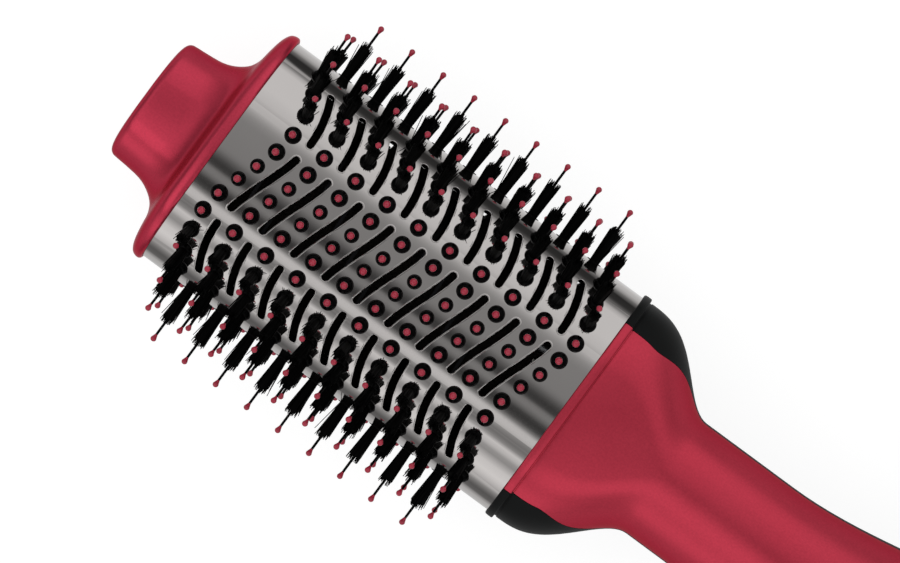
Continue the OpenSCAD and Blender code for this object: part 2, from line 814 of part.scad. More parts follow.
// Stations along the handle: [outer x, outer half-width, outer half-thickness, inner x, inner
// half-width, inner half-thickness]
function collar_station(x, out, xi, in) = [x, half_w + out, half_t + out, xi, half_w + in, half_t + in];
function handle_station(x) =
  [x, shell_half_w(x), shell_half_t(x),
   x, shell_half_w(x) - shell_wall, shell_half_t(x) - shell_wall];
stations = concat(
  [
    collar_station(x_collar, band_proud - band_chamfer, x_collar, cap_fit),
    collar_station(x_collar + band_chamfer, band_proud, x_collar + band_len / 2, cap_fit),
    collar_station(x_collar + band_len, band_proud, collar_step, cap_fit),
    collar_station(x_collar + band_len + groove_ramp / 2, -band_sink,
                   collar_step + collar_lap, sleeve_fit - shell_wall),
    collar_station(x_collar + band_len + band_groove, -band_sink,
                   x_shoulder - groove_ramp / 2, sleeve_fit - shell_wall),
  ],
  [for (i = [0 : 10]) handle_station(x_shoulder + shoulder_len * i / 10)],
  [for (i = [1 : 2]) handle_station(x_neck + neck_len * i / 2)],
  [for (i = [1 : 8]) handle_station(x_swell + swell_len * i / 8)],
  [for (i = [1 : 3]) handle_station(x_bay + bay_len * i / 3)]);

// Points of a half section from the right joint over the top, or under the bottom, to the left joint
function half_arc(x, w, h, joint, up, n) =
  let (f = w - h, end = up ? 90 : -90, span = end - joint) concat(
    [for (i = [0 : n]) let (q = joint + span * i / (n + 0.5)) [x, f + h * cos(q), h * sin(q)]],
    [for (i = [n : -1 : 0]) let (q = joint + span * i / (n + 0.5)) [x, -f - h * cos(q), h * sin(q)]]);

function flipped(list) = [for (i = [len(list) - 1 : -1 : 0]) list[i]];

// One half of the handle's wall, closed at its ends and along its joint
module half_shell(up) {
  n = 11;
  m = 2 * (n + 1);
  k = len(stations);
  gap = up ? joint_gap : 0;
  points = [
    for (e = stations)
      let (joint = joint_at(e[0]) + gap / e[2] * 180 / PI)
      each concat(
        half_arc(e[0], e[1], e[2], joint, up, n),
        flipped(half_arc(e[3], e[4], e[5], joint, up, n)))
  ];
  sides = [for (j = [0 : k - 2]) each band_faces(j * 2 * m, (j + 1) * 2 * m, 2 * m, true)];
  first = [for (i = [0 : m - 2]) each [[i, i + 1, 2 * m - 1 - i], [i + 1, 2 * m - 2 - i, 2 * m - 1 - i]]];
  last = [for (t = first) [for (v = flipped(t)) v + (k - 1) * 2 * m]];
  faces = concat(sides, first, last);
  polyhedron(points = points, faces = up ? faces : [for (t = faces) flipped(t)]);
}

// Half ring inside the shells that holds a round piece of radius r
module half_rib(r, x, t, up) {
  lift = joint_gap / r * 180 / PI;
  along(x) rotate([0, 0, up ? lift : 180]) rotate_extrude(angle = up ? 180 - 2 * lift : 180)
    translate([r, 0]) square([handle_round(x) - shell_wall / 2 - r, t]);
}

// Ribs that hold the fan housing, and the pair that traps the end cap's flange
module shell_ribs(up) {
  for (x = [housing_x0 + rib_places[0], housing_x1 - rib_places[1]])
    half_rib(housing_r + fan_clear, x, rib_t, up);
  for (x = [spigot_x0 - flange_rib_t - rib_fit, spigot_x0 + flange_t + rib_fit])
    half_rib(spigot_r + rib_fit, x, flange_rib_t, up);
}

module front_cover() {
  color("#A83045") placed() difference() {
    union() {
      half_shell(true);
      shell_ribs(true);
      for (x = screw_x) translate([x, 0, joint_gap])
        cylinder(r = post_r, h = handle_round(x) - shell_wall + post_sink);
    }
    for (x = screw_x) translate([x, 0, -1]) cylinder(r = screw_r - screw_bite, h = screw_reach + 2);
  }
}

module rear_shell() {
  color("#202222") placed() difference() {
    union() {
      half_shell(false);
      shell_ribs(false);
      for (x = screw_x) translate([x, 0, shell_wall - post_sink - handle_round(x)])
        cylinder(r = post_r * 1.2, h = handle_round(x) - shell_wall + post_sink);
      for (x = board_x) intersection() {
        disc(handle_round(x) - shell_wall / 2, x, x + rib_t);
        translate([x - 1, -board_w * 0.41, -handle_round(x)])
          cube([rib_t + 2, board_w * 0.82, handle_round(x) + board_z]);
      }
    }
    for (x = screw_x) {
      below = 1.5 * handle_round(x);
      translate([x, 0, -below]) cylinder(r = screw_r + screw_hole, h = below + 1);
      translate([x, 0, -below])
        cylinder(r = screw_head_r + screw_head_fit, h = below - screw_seat(x));
    }
  }
}

// Depth below the axis at which a screw's head sits in the rear shell
function screw_seat(x) = handle_round(x) - screw_deep;

module shell_screws() {
  color("#77797D") placed() for (x = screw_x) {
    translate([x, 0, -screw_seat(x)]) cylinder(r = screw_r, h = screw_seat(x) + screw_reach);
    translate([x, 0, -screw_seat(x) - screw_head_t]) cylinder(r = screw_head_r, h = screw_head_t);
  }
}

// Board between the first two screws, with its diodes and capacitor
board_room = 3;
board_len = screw_x[1] - screw_x[0] - 2 * post_r - board_room;
board_x0 = (screw_x[0] + screw_x[1] - board_len) / 2;
board_x = [board_x0 + board_room, board_x0 + board_len - board_room - rib_t];
board_w = 22;
board_z = -9;
board_t = 1.6;
part_root = 0.2;
diode = [2.4, 5, 2.6];
diode_pitch = 3.6;
capacitor = [12, 5, 7];
module rectifier_board() {
  color("#3C6B45") placed() translate([board_x0, 0, board_z]) {
    translate([0, -board_w / 2, 0]) cube([board_len, board_w, board_t]);
    for (i = [0 : 3]) translate([board_room + i * diode_pitch, -board_w * 0.41, board_t - part_root])
      cube(diode);
    translate([board_room + diode_pitch, board_w * 0.18, board_t - part_root]) cube(capacitor);
  }
}

// Leads from the heater through the neck to the board, each a straight wire with a bend
lead_r = 0.9;
lead_y = [-8, -5, 8];
lead_z = 4;
lead_bend = 18;
module lead_wires() {
  xs = [heater_x1 + wire_gap, x_shoulder + lead_bend, board_x0 + board_room * 0.8];
  zs = [lead_z, lead_z, board_z + board_t + lead_r];
  color("#E8E4DA") placed() for (y = lead_y) skinned([
    for (i = [0 : 2]) [for (q = [0 : 60 : 300]) [xs[i], y + lead_r * cos(q), zs[i] + lead_r * sin(q)]]
  ]);
}

// Duct with a motor cup on a ring of leaning guide vanes
module fan_housing() {
  color("#D9D7D2") placed() {
    ring(duct_r, housing_r, housing_x0, housing_x1);
    difference() {
      disc(cup_r + cup_wall, cup_x0, motor_x1 + boss_step_len);
      disc(cup_r, cup_x0 - 1, motor_x1);
      disc(boss_step_r + fan_clear, motor_x1 - 1, motor_x1 + boss_step_len + 1);
    }
    for (i = [0 : vanes - 1]) rotate([360 * i / vanes, 0, 0])
      translate([(housing_x0 + motor_x1) / 2, 0, cup_r + cup_wall / 2]) rotate([0, 0, vane_lean])
        translate([-vane_len / 2, -vane_t / 2, 0])
          cube([vane_len, vane_t, duct_r - cup_r + (housing_wall - cup_wall) / 2]);
  }
}

module motor_sleeve() {
  color("#1B1B1B") placed() ring(motor_r + sleeve_bite, motor_r + sleeve_t,
    motor_x0 + boss_back_len, motor_x1 - boss_back_len / 2);
}

module motor() {
  color("#9DA0A4") placed() difference() {
    union() {
      disc(motor_r, motor_x0, motor_x1 - sleeve_fit_r);
      disc(boss_step_r, motor_x1 - 1, motor_x1 + boss_step_len);
      disc(boss_step_r, motor_x0 - boss_back_len, motor_x0 + 1);
    }
    disc(shaft_r + sleeve_bite, motor_x1 - shaft_deep, motor_x1 + motor_room);
  }
}

module fan_shaft() {
  color("#C6C8CB") placed()
    disc(shaft_r, motor_x1 - shaft_deep * 0.96, impeller_x0 + impeller_len - nose_len / 2);
}

// Hub with a round nose, and blades that twist from root to tip
module impeller() {
  color("#2B2D30") placed() {
    difference() {
      union() {
        disc(hub_r, impeller_x0, impeller_x0 + impeller_len - nose_len);
        along(impeller_x0 + impeller_len - nose_len)
          cylinder(r1 = hub_r, r2 = hub_r - nose_round, h = nose_len);
      }
      disc(shaft_r, impeller_x0 - 1, impeller_x0 + impeller_len - nose_len / 2);
    }
    for (i = [0 : blades - 1]) rotate([360 * i / blades, 0, 0]) blade();
  }
}

// One blade: thin sections whose pitch flattens towards the tip
blade_root = 0.8;
blade_pitch = [52, 28];
blade_chord = [5, 6.6];
blade_t = 0.6;
module blade() {
  mid = impeller_x0 + impeller_len / 2 - nose_len / 2;
  skinned([
    for (j = [0 : 3])
      let (k = j / 3, r = hub_r - blade_root + (fan_r - hub_r + blade_root) * k,
           pitch = blade_pitch[0] * (1 - k) + blade_pitch[1] * k,
           c = blade_chord[0] * (1 - k) + blade_chord[1] * k, t = blade_t)
      [for (p = [[-c, -0.75 * t], [0, t], [c, -0.75 * t], [c, 0.25 * t], [0, 2.5 * t], [-c, 0.25 * t]])
        [mid + p[0] * sin(pitch) * 0.8 - p[1] * cos(pitch), p[0] * cos(pitch) + p[1] * sin(pitch),
         sqrt(max(1, r * r - pow(p[0] * cos(pitch), 2)))]]
  ]);
}

// Recess in the flat end that takes the head of the gland
head_recess_r = gland_r + gland_head + gland_head_fit;

// Inlet end: spigot with the trapped flange, then the domed body with its slots and end wall
module end_profile(shrink) {
  r = dial_out_r - shrink;
  flat_r = end_flat_r - shrink * 0.4;
  polygon(concat(
    [[0, shrink > 0 ? end_wall : 0]],
    [[r, shrink > 0 ? end_wall : 0], [r, end_len - dome_len]],
    [for (i = [1 : 6]) let (q = 90 * i / 6)
      [flat_r + (r - flat_r) * cos(q), end_len - dome_len + (dome_len - shrink) * sin(q)]],
    [[0, end_len - shrink]]));
}

module end_cap() {
  bore = spigot_r - spigot_wall;
  color("#1E2021") placed() difference() {
    union() {
      ring(bore, spigot_r, spigot_x0, x_end + 1);
      ring(bore, flange_r, spigot_x0, spigot_x0 + flange_t);
      difference() {
        along(x_end) rotate_extrude() end_profile(0);
        along(x_end) rotate_extrude() end_profile(end_wall);
        disc(bore, x_end - 1, x_end + end_wall - filter_lip);
        disc(bore - filter_ledge, x_end - 1, x_end + end_wall + 1);
      }
      disc(head_recess_r + gland_wall, x_tail - gland_seat, x_tail);
    }
    disc(gland_r + gland_fit, x_tail - gland_seat - 1, x_tail + 1);
    disc(head_recess_r, x_tail - gland_head_t - gland_head_fit, x_tail + 1);
    for (i = [0 : inlets - 1]) rotate([360 * i / inlets, 0, 0])
      translate([x_tail - inlet_len, -inlet_w / 2, end_flat_r + inlet_room])
        cube([inlet_len + 2, inlet_w, dial_out_r]);
    // pocket for the detent spring
    along(spring_x - spring_fit) translate([-spring_w / 2 - spring_fit, spigot_r - pocket_deep, 0])
      cube([spring_w + 2 * spring_fit, 2 * pocket_deep, spring_len + 2 * spring_fit]);
    // window for the dial's finger
    along(finger_x - finger_r - finger_fit) rotate([0, 0, -90 - slot_ang])
      rotate_extrude(angle = dial_travel + 2 * slot_ang)
        translate([bore - 1, 0]) square([spigot_wall + 2, 2 * (finger_r + finger_fit)]);
  }
}

// Filter screen: a rim that sits on the end cap's lip, spokes and three thin rings
module inlet_filter() {
  x = x_end + end_wall - filter_lip - filter_t;
  r = spigot_r - spigot_wall - filter_fit;
  step = (r - filter_rim - filter_hub[1]) / (filter_rings + 1);
  t = filter_t / 6;
  color("#4A4C4F") placed() {
    ring(r - filter_rim, r, x, x + filter_t);
    ring(filter_hub[0], filter_hub[1], x, x + filter_t);
    for (a = [0 : 30 : 330]) rotate([a, 0, 0])
      translate([x + t, -filter_wire / 2, (filter_hub[0] + filter_hub[1]) / 2])
        cube([filter_t - 2 * t, filter_wire, r - filter_rim / 2 - (filter_hub[0] + filter_hub[1]) / 2]);
    for (i = [1 : filter_rings]) let (q = filter_hub[1] + i * step - filter_wire / 2)
      ring(q, q + filter_wire, x + t, x + filter_t - t);
  }
}

// Switch base: a block curved to the spigot's wall, with a channel for the slider
module sector(r0, r1, x0, x1, a0, a1) {
  along(x0) rotate([0, 0, a0]) rotate_extrude(angle = a1 - a0)
    translate([r0, 0]) square([r1 - r0, x1 - x0]);
}

switch_a0 = -90 - slider_ang;
switch_a1 = -90 + dial_travel + slider_ang;
module switch_body() {
  x0 = finger_x - switch_half;
  x1 = finger_x + switch_half;
  edge = switch_half - slider_half - slider_fit;
  color("#EFEBE0") placed() difference() {
    sector(finger_end - slider_t - switch_wall, spigot_r - spigot_wall - switch_fit, x0, x1,
      switch_a0 - 3, switch_a1 + 3);
    sector(finger_end - slider_t, spigot_r, x0 + edge, x1 - edge, switch_a0, switch_a1);
  }
}

// Terminals for off, cool, low and high, standing on the inner side of the switch base
module switch_contacts() {
  r1 = finger_end - slider_t - switch_wall - switch_fit;
  color("#C9A24A") placed() for (i = [0 : 3])
    sector(r1 - contact_t, r1, finger_x - contact_half, finger_x + contact_half,
      -93 + i * dial_travel / 3, -87 + i * dial_travel / 3);
}

// Grip ring with flutes, an index rib and the finger that drives the switch
module dial_ring() {
  x0 = x_dial + dial_gap;
  x1 = x0 + dial_len;
  color("#2A2C2E") placed() {
    difference() {
      ring(dial_in_r, dial_out_r, x0, x1);
      for (i = [0 : flutes - 1]) rotate([360 * i / flutes, 0, 0])
        translate([x0 + flute_end, 0, dial_out_r + flute_out]) rotate([0, 90, 0])
          cylinder(r = flute_r, h = dial_len - 2 * flute_end);
      for (i = [0 : 3]) along(x0 + notch_x) rotate([0, 0, 90 - dial_travel + i * dial_travel / 3])
        translate([dial_in_r, 0, 0]) cylinder(r = notch_r, h = notch_len);
    }
    translate([finger_x, 0, 0]) rotate([180, 0, 0])
      translate([0, 0, finger_end]) cylinder(r = finger_r, h = dial_in_r - finger_end + 1);
  }
}

module switch_slider() {
  color("#B8352F") placed() difference() {
    sector(finger_end - slider_t + slider_fit, finger_end + finger_r, finger_x - slider_half,
      finger_x + slider_half, -90 - slider_ang / 2, -90 + slider_ang / 2);
    translate([finger_x, 0, -finger_end - 2 * finger_r]) cylinder(r = finger_r, h = 2 * finger_r + 0.01);
  }
}

// Leaf spring in a pocket of the spigot, drawn pressed down, with a nose for the dial's notches
module detent_spring() {
  color("#B9BCC0") placed() along(spring_x) {
    translate([-spring_w / 2, spigot_r - pocket_deep, 0]) cube([spring_w, spring_t, spring_len]);
    translate([-nose_half, spigot_r - pocket_deep, 0]) cube([2 * nose_half, pocket_deep, spring_len]);
  }
}

// Swivel gland: a sleeve that turns in the end cap, its head sunk in the recess, held by the
// clip inside
module cord_gland() {
  color("#17181A") placed() difference() {
    union() {
      disc(gland_r, x_tail - gland_inner, x_tail);
      disc(gland_r + gland_head, x_tail - gland_head_t, x_tail);
      along(x_tail) cylinder(r1 = gland_r + gland_head, r2 = cord_r + gland_wall, h = gland_out);
    }
    disc(cord_r, x_tail - gland_inner - 1, x_tail + gland_out + 1);
  }
}

module gland_clip() {
  x = x_tail - gland_seat - clip_gap;
  color("#3A3C3E") placed() ring(gland_r, gland_r + clip_wall, x - clip_t, x);
}

cool_tip();
tip_bracket();
tip_screws();
tie_rods();
barrel();
front_pin_insert();
back_pin_insert();
left_tuft_insert();
right_tuft_insert();
mica_frame();
heating_wire();
thermostat();
thermal_fuse();
barrel_socket();
front_cover();
rear_shell();
shell_screws();
rectifier_board();
lead_wires();
fan_housing();
motor_sleeve();
motor();
fan_shaft();
impeller();
end_cap();
inlet_filter();
switch_body();
switch_contacts();
dial_ring();
switch_slider();
detent_spring();
cord_gland();
gland_clip();
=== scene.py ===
# %% [markdown]
# # A hot-air styling brush
# The part was drawn in millimetres in a CAD program and packed in metres. This notebook loads it
# as a fixed frame and dresses it: smooth shells in place of the faceted ones, real bristles in
# place of the thick strands, and a material for every piece. The brush lies along X with its tip
# towards -X. The front of its barrel looks up +Z, at the camera.

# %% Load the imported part
import json
import math
import random

import bmesh
import bpy
from mathutils import Matrix, Vector


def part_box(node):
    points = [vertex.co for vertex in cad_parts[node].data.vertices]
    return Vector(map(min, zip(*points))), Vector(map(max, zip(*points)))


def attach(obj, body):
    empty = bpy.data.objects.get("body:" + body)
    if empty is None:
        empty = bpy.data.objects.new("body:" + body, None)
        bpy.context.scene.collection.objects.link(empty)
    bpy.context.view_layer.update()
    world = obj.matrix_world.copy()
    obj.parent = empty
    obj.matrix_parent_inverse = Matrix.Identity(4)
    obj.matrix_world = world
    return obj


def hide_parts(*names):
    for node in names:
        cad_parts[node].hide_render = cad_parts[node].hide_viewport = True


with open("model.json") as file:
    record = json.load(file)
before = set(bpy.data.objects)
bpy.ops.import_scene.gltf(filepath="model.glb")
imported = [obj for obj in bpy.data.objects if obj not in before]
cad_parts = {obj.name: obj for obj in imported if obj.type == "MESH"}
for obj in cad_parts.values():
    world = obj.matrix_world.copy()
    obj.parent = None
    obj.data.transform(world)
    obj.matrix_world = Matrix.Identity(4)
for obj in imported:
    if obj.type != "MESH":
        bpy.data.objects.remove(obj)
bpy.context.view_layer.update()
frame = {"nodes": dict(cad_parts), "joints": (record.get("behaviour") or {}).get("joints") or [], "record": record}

# %% [markdown]
# The barrel, the cap and the handle all follow one section: a stadium, which is two flat faces
# joined by half circles. The same few sizes that drive the CAD part are repeated here, in
# millimetres from the end of the tip, so that each new piece lands where its CAD node is.

# %% Sizes of the brush in millimetres
MM = 0.001
HALF_W, HALF_T = 37.2, 22.0
FLAT_W = HALF_W - HALF_T
SIDE_S = FLAT_W + HALF_T * math.pi / 2
X_RIM, X_COLLAR, X_SHOULDER, X_NECK = 26.1, 147.3, 151.0, 183.0
X_SWELL, X_BAY, X_DIAL = 213.6, 297.6, 321.6
NECK_R, BAY_R, END_R = 19.3, 30.5, 28.4
tip_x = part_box("cool_tip")[0].x
axis_z = frame["joints"][0]["pos_m"][2]


def at(x, y, z):
    """A place given in millimetres from the tip and the axis, in the frame's metres."""
    return Vector((tip_x + x * MM, y * MM, axis_z + z * MM))


def skin(s):
    """The barrel's surface at a distance s around it from the middle of the front face: y, z, tilt."""
    side, a = (-1 if s < 0 else 1), abs(s)
    q = max(0.0, a - FLAT_W) / HALF_T
    return side * (min(a, FLAT_W) + HALF_T * math.sin(q)), HALF_T * math.cos(q), side * q


print("tip at x =", round(tip_x, 4), "axis at z =", round(axis_z, 4))

# %% [markdown]
# A few small tools are used all through. An operator acts on all that is selected, so some of them
# clear the selection, or select one object, or vertices and faces by their place. One puts a
# finished piece's place into its mesh. One adds a shader node with its settings and links, and one
# turns a hex colour into the linear values that a shader takes.

# %% Selecting and finishing
def nothing_selected():
    if bpy.context.mode != "OBJECT":
        bpy.ops.object.mode_set(mode="OBJECT")
    bpy.ops.object.select_all(action="DESELECT")


def pick(piece, wanted, part="VERT"):
    """In edit mode, selects only the vertices or faces for which wanted(element) is true."""
    bpy.ops.mesh.select_mode(type=part)
    bpy.ops.mesh.select_all(action="DESELECT")
    bm = bmesh.from_edit_mesh(piece.data)
    for element in (bm.verts if part == "VERT" else bm.faces):
        if wanted(element):
            element.select = True
    bm.select_flush_mode()
    bmesh.update_edit_mesh(piece.data)


def only(piece):
    """Makes piece the one selected and active object."""
    nothing_selected()
    piece.select_set(True)
    bpy.context.view_layer.objects.active = piece


def settle(piece, name, smooth=35):
    """Puts a finished piece's place into its mesh, names it and smooths its gentle edges."""
    only(piece)
    bpy.ops.object.transform_apply(location=True, rotation=True, scale=True)
    if smooth:
        bpy.ops.object.shade_smooth_by_angle(angle=math.radians(smooth))
    piece.name = piece.data.name = name
    return piece


def add(tree, kind, inputs=None, **settings):
    """Adds a shader node. An input is a plain value or the output that is linked to it."""
    made = tree.nodes.new(kind)
    for name, value in settings.items():
        setattr(made, name, value)
    for name, value in (inputs or {}).items():
        if isinstance(value, bpy.types.NodeSocket):
            tree.links.new(value, made.inputs[name])
        else:
            made.inputs[name].default_value = value
    return made


def linear(code):
    """An sRGB hex colour as the linear values that shaders take."""
    parts = [int(code[i:i + 2], 16) / 255 for i in (1, 3, 5)]
    return tuple(c / 12.92 if c <= 0.04045 else ((c + 0.055) / 1.055) ** 2.4 for c in parts) + (1.0,)


print("tools ready")

# %% [markdown]
# ## Finishes
# Most of the brush is moulded plastic. What the eye reads is a body colour that drifts a little,
# a fine grain from the mould that softens the highlights, and the gloss. One recipe makes them
# all: a slow noise mixes two near shades, and a fast noise gives the grain as bump. The grain of
# a real mould is 0.05 to 0.2 mm, under one pixel here, so it is drawn at 0.5 mm or more.

# %% Moulded plastics
def empty_material(name):
    """A new material with nothing in its node tree, and the tree."""
    made = bpy.data.materials.new(name)
    made.use_nodes = True
    made.node_tree.nodes.clear()
    return made, made.node_tree


def moulded(name, shade, tint, roughness, grain_mm=0.6, grain=0.12, drift_mm=25.0, metallic=0.0,
            specular=0.5, edge="#FFFFFF"):
    made, tree = empty_material(name)
    place = add(tree, "ShaderNodeTexCoord").outputs["Object"]
    drift = add(tree, "ShaderNodeTexNoise",
                {"Vector": place, "Scale": 1 / (drift_mm * MM), "Detail": 3.0, "Roughness": 0.55})
    fine = add(tree, "ShaderNodeTexNoise",
               {"Vector": place, "Scale": 1 / (grain_mm * MM), "Detail": 2.0, "Roughness": 0.6})
    colour = add(tree, "ShaderNodeMix", {0: drift.outputs[0], 6: linear(shade), 7: linear(tint)},
                 data_type="RGBA")
    speckle = add(tree, "ShaderNodeMapRange",
                  {"Value": fine.outputs[0], "From Min": 0.3, "From Max": 0.7,
                   "To Min": 0.93, "To Max": 1.07})
    body = add(tree, "ShaderNodeMix", {0: 1.0, 6: colour.outputs[2], 7: speckle.outputs[0]},
               data_type="RGBA", blend_type="MULTIPLY")
    gloss = add(tree, "ShaderNodeMapRange",
                {"Value": drift.outputs[0], "From Min": 0.3, "From Max": 0.7,
                 "To Min": roughness - 0.03, "To Max": roughness + 0.03})
    bump = add(tree, "ShaderNodeBump",
               {"Height": fine.outputs[0], "Strength": grain, "Distance": 0.1 * MM})
    shader = add(tree, "ShaderNodeBsdfPrincipled",
                 {"Base Color": body.outputs[2], "Roughness": gloss.outputs[0],
                  "Metallic": metallic, "Specular IOR Level": specular, "Specular Tint": linear(edge),
                  "Normal": bump.outputs[0]})
    add(tree, "ShaderNodeOutputMaterial", {"Surface": shader.outputs[0]})
    return made


# The red is a pearl soft-touch lacquer over ABS: its fine flakes give the highlights a red tint, also
# at the edges. The cap is rubbed smoother than the handle, which is coated thicker for grip.
cap_lacquer = moulded("red_pearl_soft_touch_cap", "#BC374B", "#C33F54", 0.29, grain=0.08, metallic=0.75,
                      specular=0.15, edge="#D88A96")
red_lacquer = moulded("red_pearl_soft_touch_cover", "#B93648", "#C13E50", 0.34, metallic=0.75,
                      specular=0.15, edge="#D88A96")
black_abs = moulded("black_abs_fine_texture", "#0F1010", "#141515", 0.48, grain=0.2, specular=0.06)
black_nylon = moulded("black_nylon_gloss", "#010101", "#030303", 0.14, grain=0.0, specular=0.04)
bristle_nylon = moulded("black_nylon_bristle", "#010101", "#040404", 0.5, grain=0.0, specular=0.04)
tip_resin = moulded("crimson_resin_ball_tip", "#931D33", "#A6273D", 0.16, grain=0.03, drift_mm=8)
dark_pa = moulded("dark_glass_filled_nylon", "#232426", "#2B2C2E", 0.55, grain=0.2)
white_pp = moulded("white_heat_resistant_plastic", "#D6D4CE", "#E2E0DA", 0.5)
cream_pbt = moulded("cream_switch_plastic", "#E4DFD2", "#EFEBE0", 0.4)
red_pbt = moulded("red_switch_plastic", "#A92F2A", "#B8352F", 0.4)
print("plastics:", len(bpy.data.materials))

# %% [markdown]
# The barrel is a thin aluminium tube with a smooth silver ceramic coat. It mirrors the studio in
# soft bands, so its roughness is low and almost even. A faint speckle in the roughness is what
# keeps it from looking like polished chrome. Under the outer skin, on the cut walls of the holes
# and inside, its colour is painted near black as shade. The other metals sit inside and are plainer.

# %% Metals
# The painted shade fades in between these two depths under the outer skin, in millimetres
SHADE_FULL_DEPTH, SHADE_START_DEPTH = 0.12, 0.06


def painted_shade_inside(tree, place, body):
    """Painted shade: turns a colour near black where a point lies under the barrel's outer skin."""
    spot = add(tree, "ShaderNodeSeparateXYZ", {0: place})
    side = add(tree, "ShaderNodeMath", {0: spot.outputs["Y"]}, operation="ABSOLUTE")
    past = add(tree, "ShaderNodeMath", {0: side.outputs[0], 1: FLAT_W * MM}, operation="SUBTRACT")
    past = add(tree, "ShaderNodeMath", {0: past.outputs[0], 1: 0.0}, operation="MAXIMUM")
    rise = add(tree, "ShaderNodeMath", {0: spot.outputs["Z"], 1: axis_z}, operation="SUBTRACT")
    arm = add(tree, "ShaderNodeCombineXYZ", {"Y": past.outputs[0], "Z": rise.outputs[0]})
    reach = add(tree, "ShaderNodeVectorMath", {0: arm.outputs[0]}, operation="LENGTH")
    outer = add(tree, "ShaderNodeMapRange",
                {"Value": reach.outputs["Value"], "From Min": (HALF_T - SHADE_FULL_DEPTH) * MM,
                 "From Max": (HALF_T - SHADE_START_DEPTH) * MM})
    # Painted shade: near black below the outer skin, on the holes' cut walls and inside the barrel
    return add(tree, "ShaderNodeMix", {0: outer.outputs[0], 6: linear("#0B0B0B"), 7: body},
               data_type="RGBA").outputs[2]


def metal(name, shade, tint, roughness, speckle_mm=0.7, spread=0.03, with_painted_shade=False):
    made, tree = empty_material(name)
    place = add(tree, "ShaderNodeTexCoord").outputs["Object"]
    speckle = add(tree, "ShaderNodeTexNoise",
                  {"Vector": place, "Scale": 1 / (speckle_mm * MM), "Detail": 3.0, "Roughness": 0.6})
    drift = add(tree, "ShaderNodeTexNoise", {"Vector": place, "Scale": 1 / (30 * MM), "Detail": 2.0})
    colour = add(tree, "ShaderNodeMix", {0: drift.outputs[0], 6: linear(shade), 7: linear(tint)},
                 data_type="RGBA")
    gloss = add(tree, "ShaderNodeMapRange",
                {"Value": speckle.outputs[0], "From Min": 0.3, "From Max": 0.7,
                 "To Min": roughness - spread, "To Max": roughness + spread})
    body = painted_shade_inside(tree, place, colour.outputs[2]) if with_painted_shade else colour.outputs[2]
    shader = add(tree, "ShaderNodeBsdfPrincipled",
                 {"Base Color": body, "Roughness": gloss.outputs[0], "Metallic": 1.0})
    add(tree, "ShaderNodeOutputMaterial", {"Surface": shader.outputs[0]})
    return made


# The barrel's colour is painted near black with shade below its outer skin
coated_aluminium = metal("silver_ceramic_coated_aluminium", "#BBB7B5", "#C1BDBB", 0.035, spread=0.01,
                         with_painted_shade=True)
zinc_steel = metal("zinc_plated_steel", "#B4B6B9", "#C4C6C8", 0.3)
drawn_steel = metal("drawn_steel_can", "#9C9EA1", "#AEB0B2", 0.35)
oxidised_wire = metal("oxidised_heater_alloy", "#242426", "#303032", 0.5)
tinned_brass = metal("tinned_brass", "#C9A24A", "#D6B564", 0.3)
etched_steel = metal("dark_etched_steel", "#45474A", "#55575A", 0.4)
# The tie rods' colour is near black as painted shade inside the slots
rod_steel_dark_as_painted_shade = metal("steel_rod_dark_as_painted_shade", "#161617", "#1E1E20", 0.5)

# The mica board's colour is near black as painted shade, so the slots read dark
mica_board = moulded("mica_board_dark_as_painted_shade", "#1A1510", "#2A221A", 0.6, grain=0.3, drift_mm=6,
                     specular=0.2)
glazed_ceramic = moulded("glazed_white_ceramic", "#D8D5CC", "#E4E1D8", 0.2, grain=0.02)
board_laminate = moulded("green_board_laminate", "#33603C", "#3F7049", 0.35, drift_mm=5)
silicone_sleeve = moulded("white_silicone_sleeve", "#DAD6CC", "#E8E4DA", 0.55)
black_rubber = moulded("black_motor_rubber", "#161616", "#202020", 0.7)

finish_of = {
    "cap_red": cap_lacquer, "cover_red": red_lacquer, "shell_black": black_abs,
    "barrel_metal": coated_aluminium, "pin_black": black_nylon, "tuft_black": black_nylon,
    "inner_plastic": dark_pa, "steel": zinc_steel, "mica": mica_board, "heater_alloy": oxidised_wire,
    "white_ceramic": glazed_ceramic, "fuse_metal": zinc_steel, "board_green": board_laminate,
    "lead_white": silicone_sleeve, "housing_white": white_pp, "sleeve_rubber": black_rubber,
    "motor_steel": drawn_steel, "fan_grey": dark_pa, "end_black": black_abs,
    "filter_steel": etched_steel, "switch_cream": cream_pbt, "contact_brass": tinned_brass,
    "dial_black": black_abs, "slider_red": red_pbt, "spring_steel": zinc_steel,
    "gland_black": dark_pa,
}
for part in frame["record"]["subparts"]:
    node = frame["nodes"][part["node"]]
    node.data.materials.clear()
    node.data.materials.append(finish_of[part["material_slot"]])
# The tie rods inside the slots get the near black colour of painted shade
frame["nodes"]["tie_rods"].data.materials[0] = rod_steel_dark_as_painted_shade

# %% [markdown]
# ## The cap and the handle shells
# Both are lofts: one section is carried along the brush and changes from ring to ring. A circle of
# points is added, then extruded once for each ring, and the new ring's points are set to the
# section there. Rings closer together than in the CAD part make the curves smooth.

# %% Carrying a section along the brush
def carried(rings, fill, extrude):
    """A circle set to the first ring and extruded through the others, left in edit mode."""
    nothing_selected()
    bpy.ops.mesh.primitive_circle_add(vertices=len(rings[0]), radius=1, fill_type=fill)
    piece = bpy.context.object
    bpy.ops.object.mode_set(mode="EDIT")
    order = sorted(bmesh.from_edit_mesh(piece.data).verts, key=lambda v: v.index)
    for vert, point in zip(order, rings[0]):
        vert.co = point
    for ring in rings[1:]:
        before = {tuple(v.co): i for i, v in enumerate(order)}
        extrude()
        mesh = bmesh.from_edit_mesh(piece.data)
        order = sorted((v for v in mesh.verts if v.select), key=lambda v: before[tuple(v.co)])
        for vert, point in zip(order, ring):
            vert.co = point
        bmesh.update_edit_mesh(piece.data)
    return piece


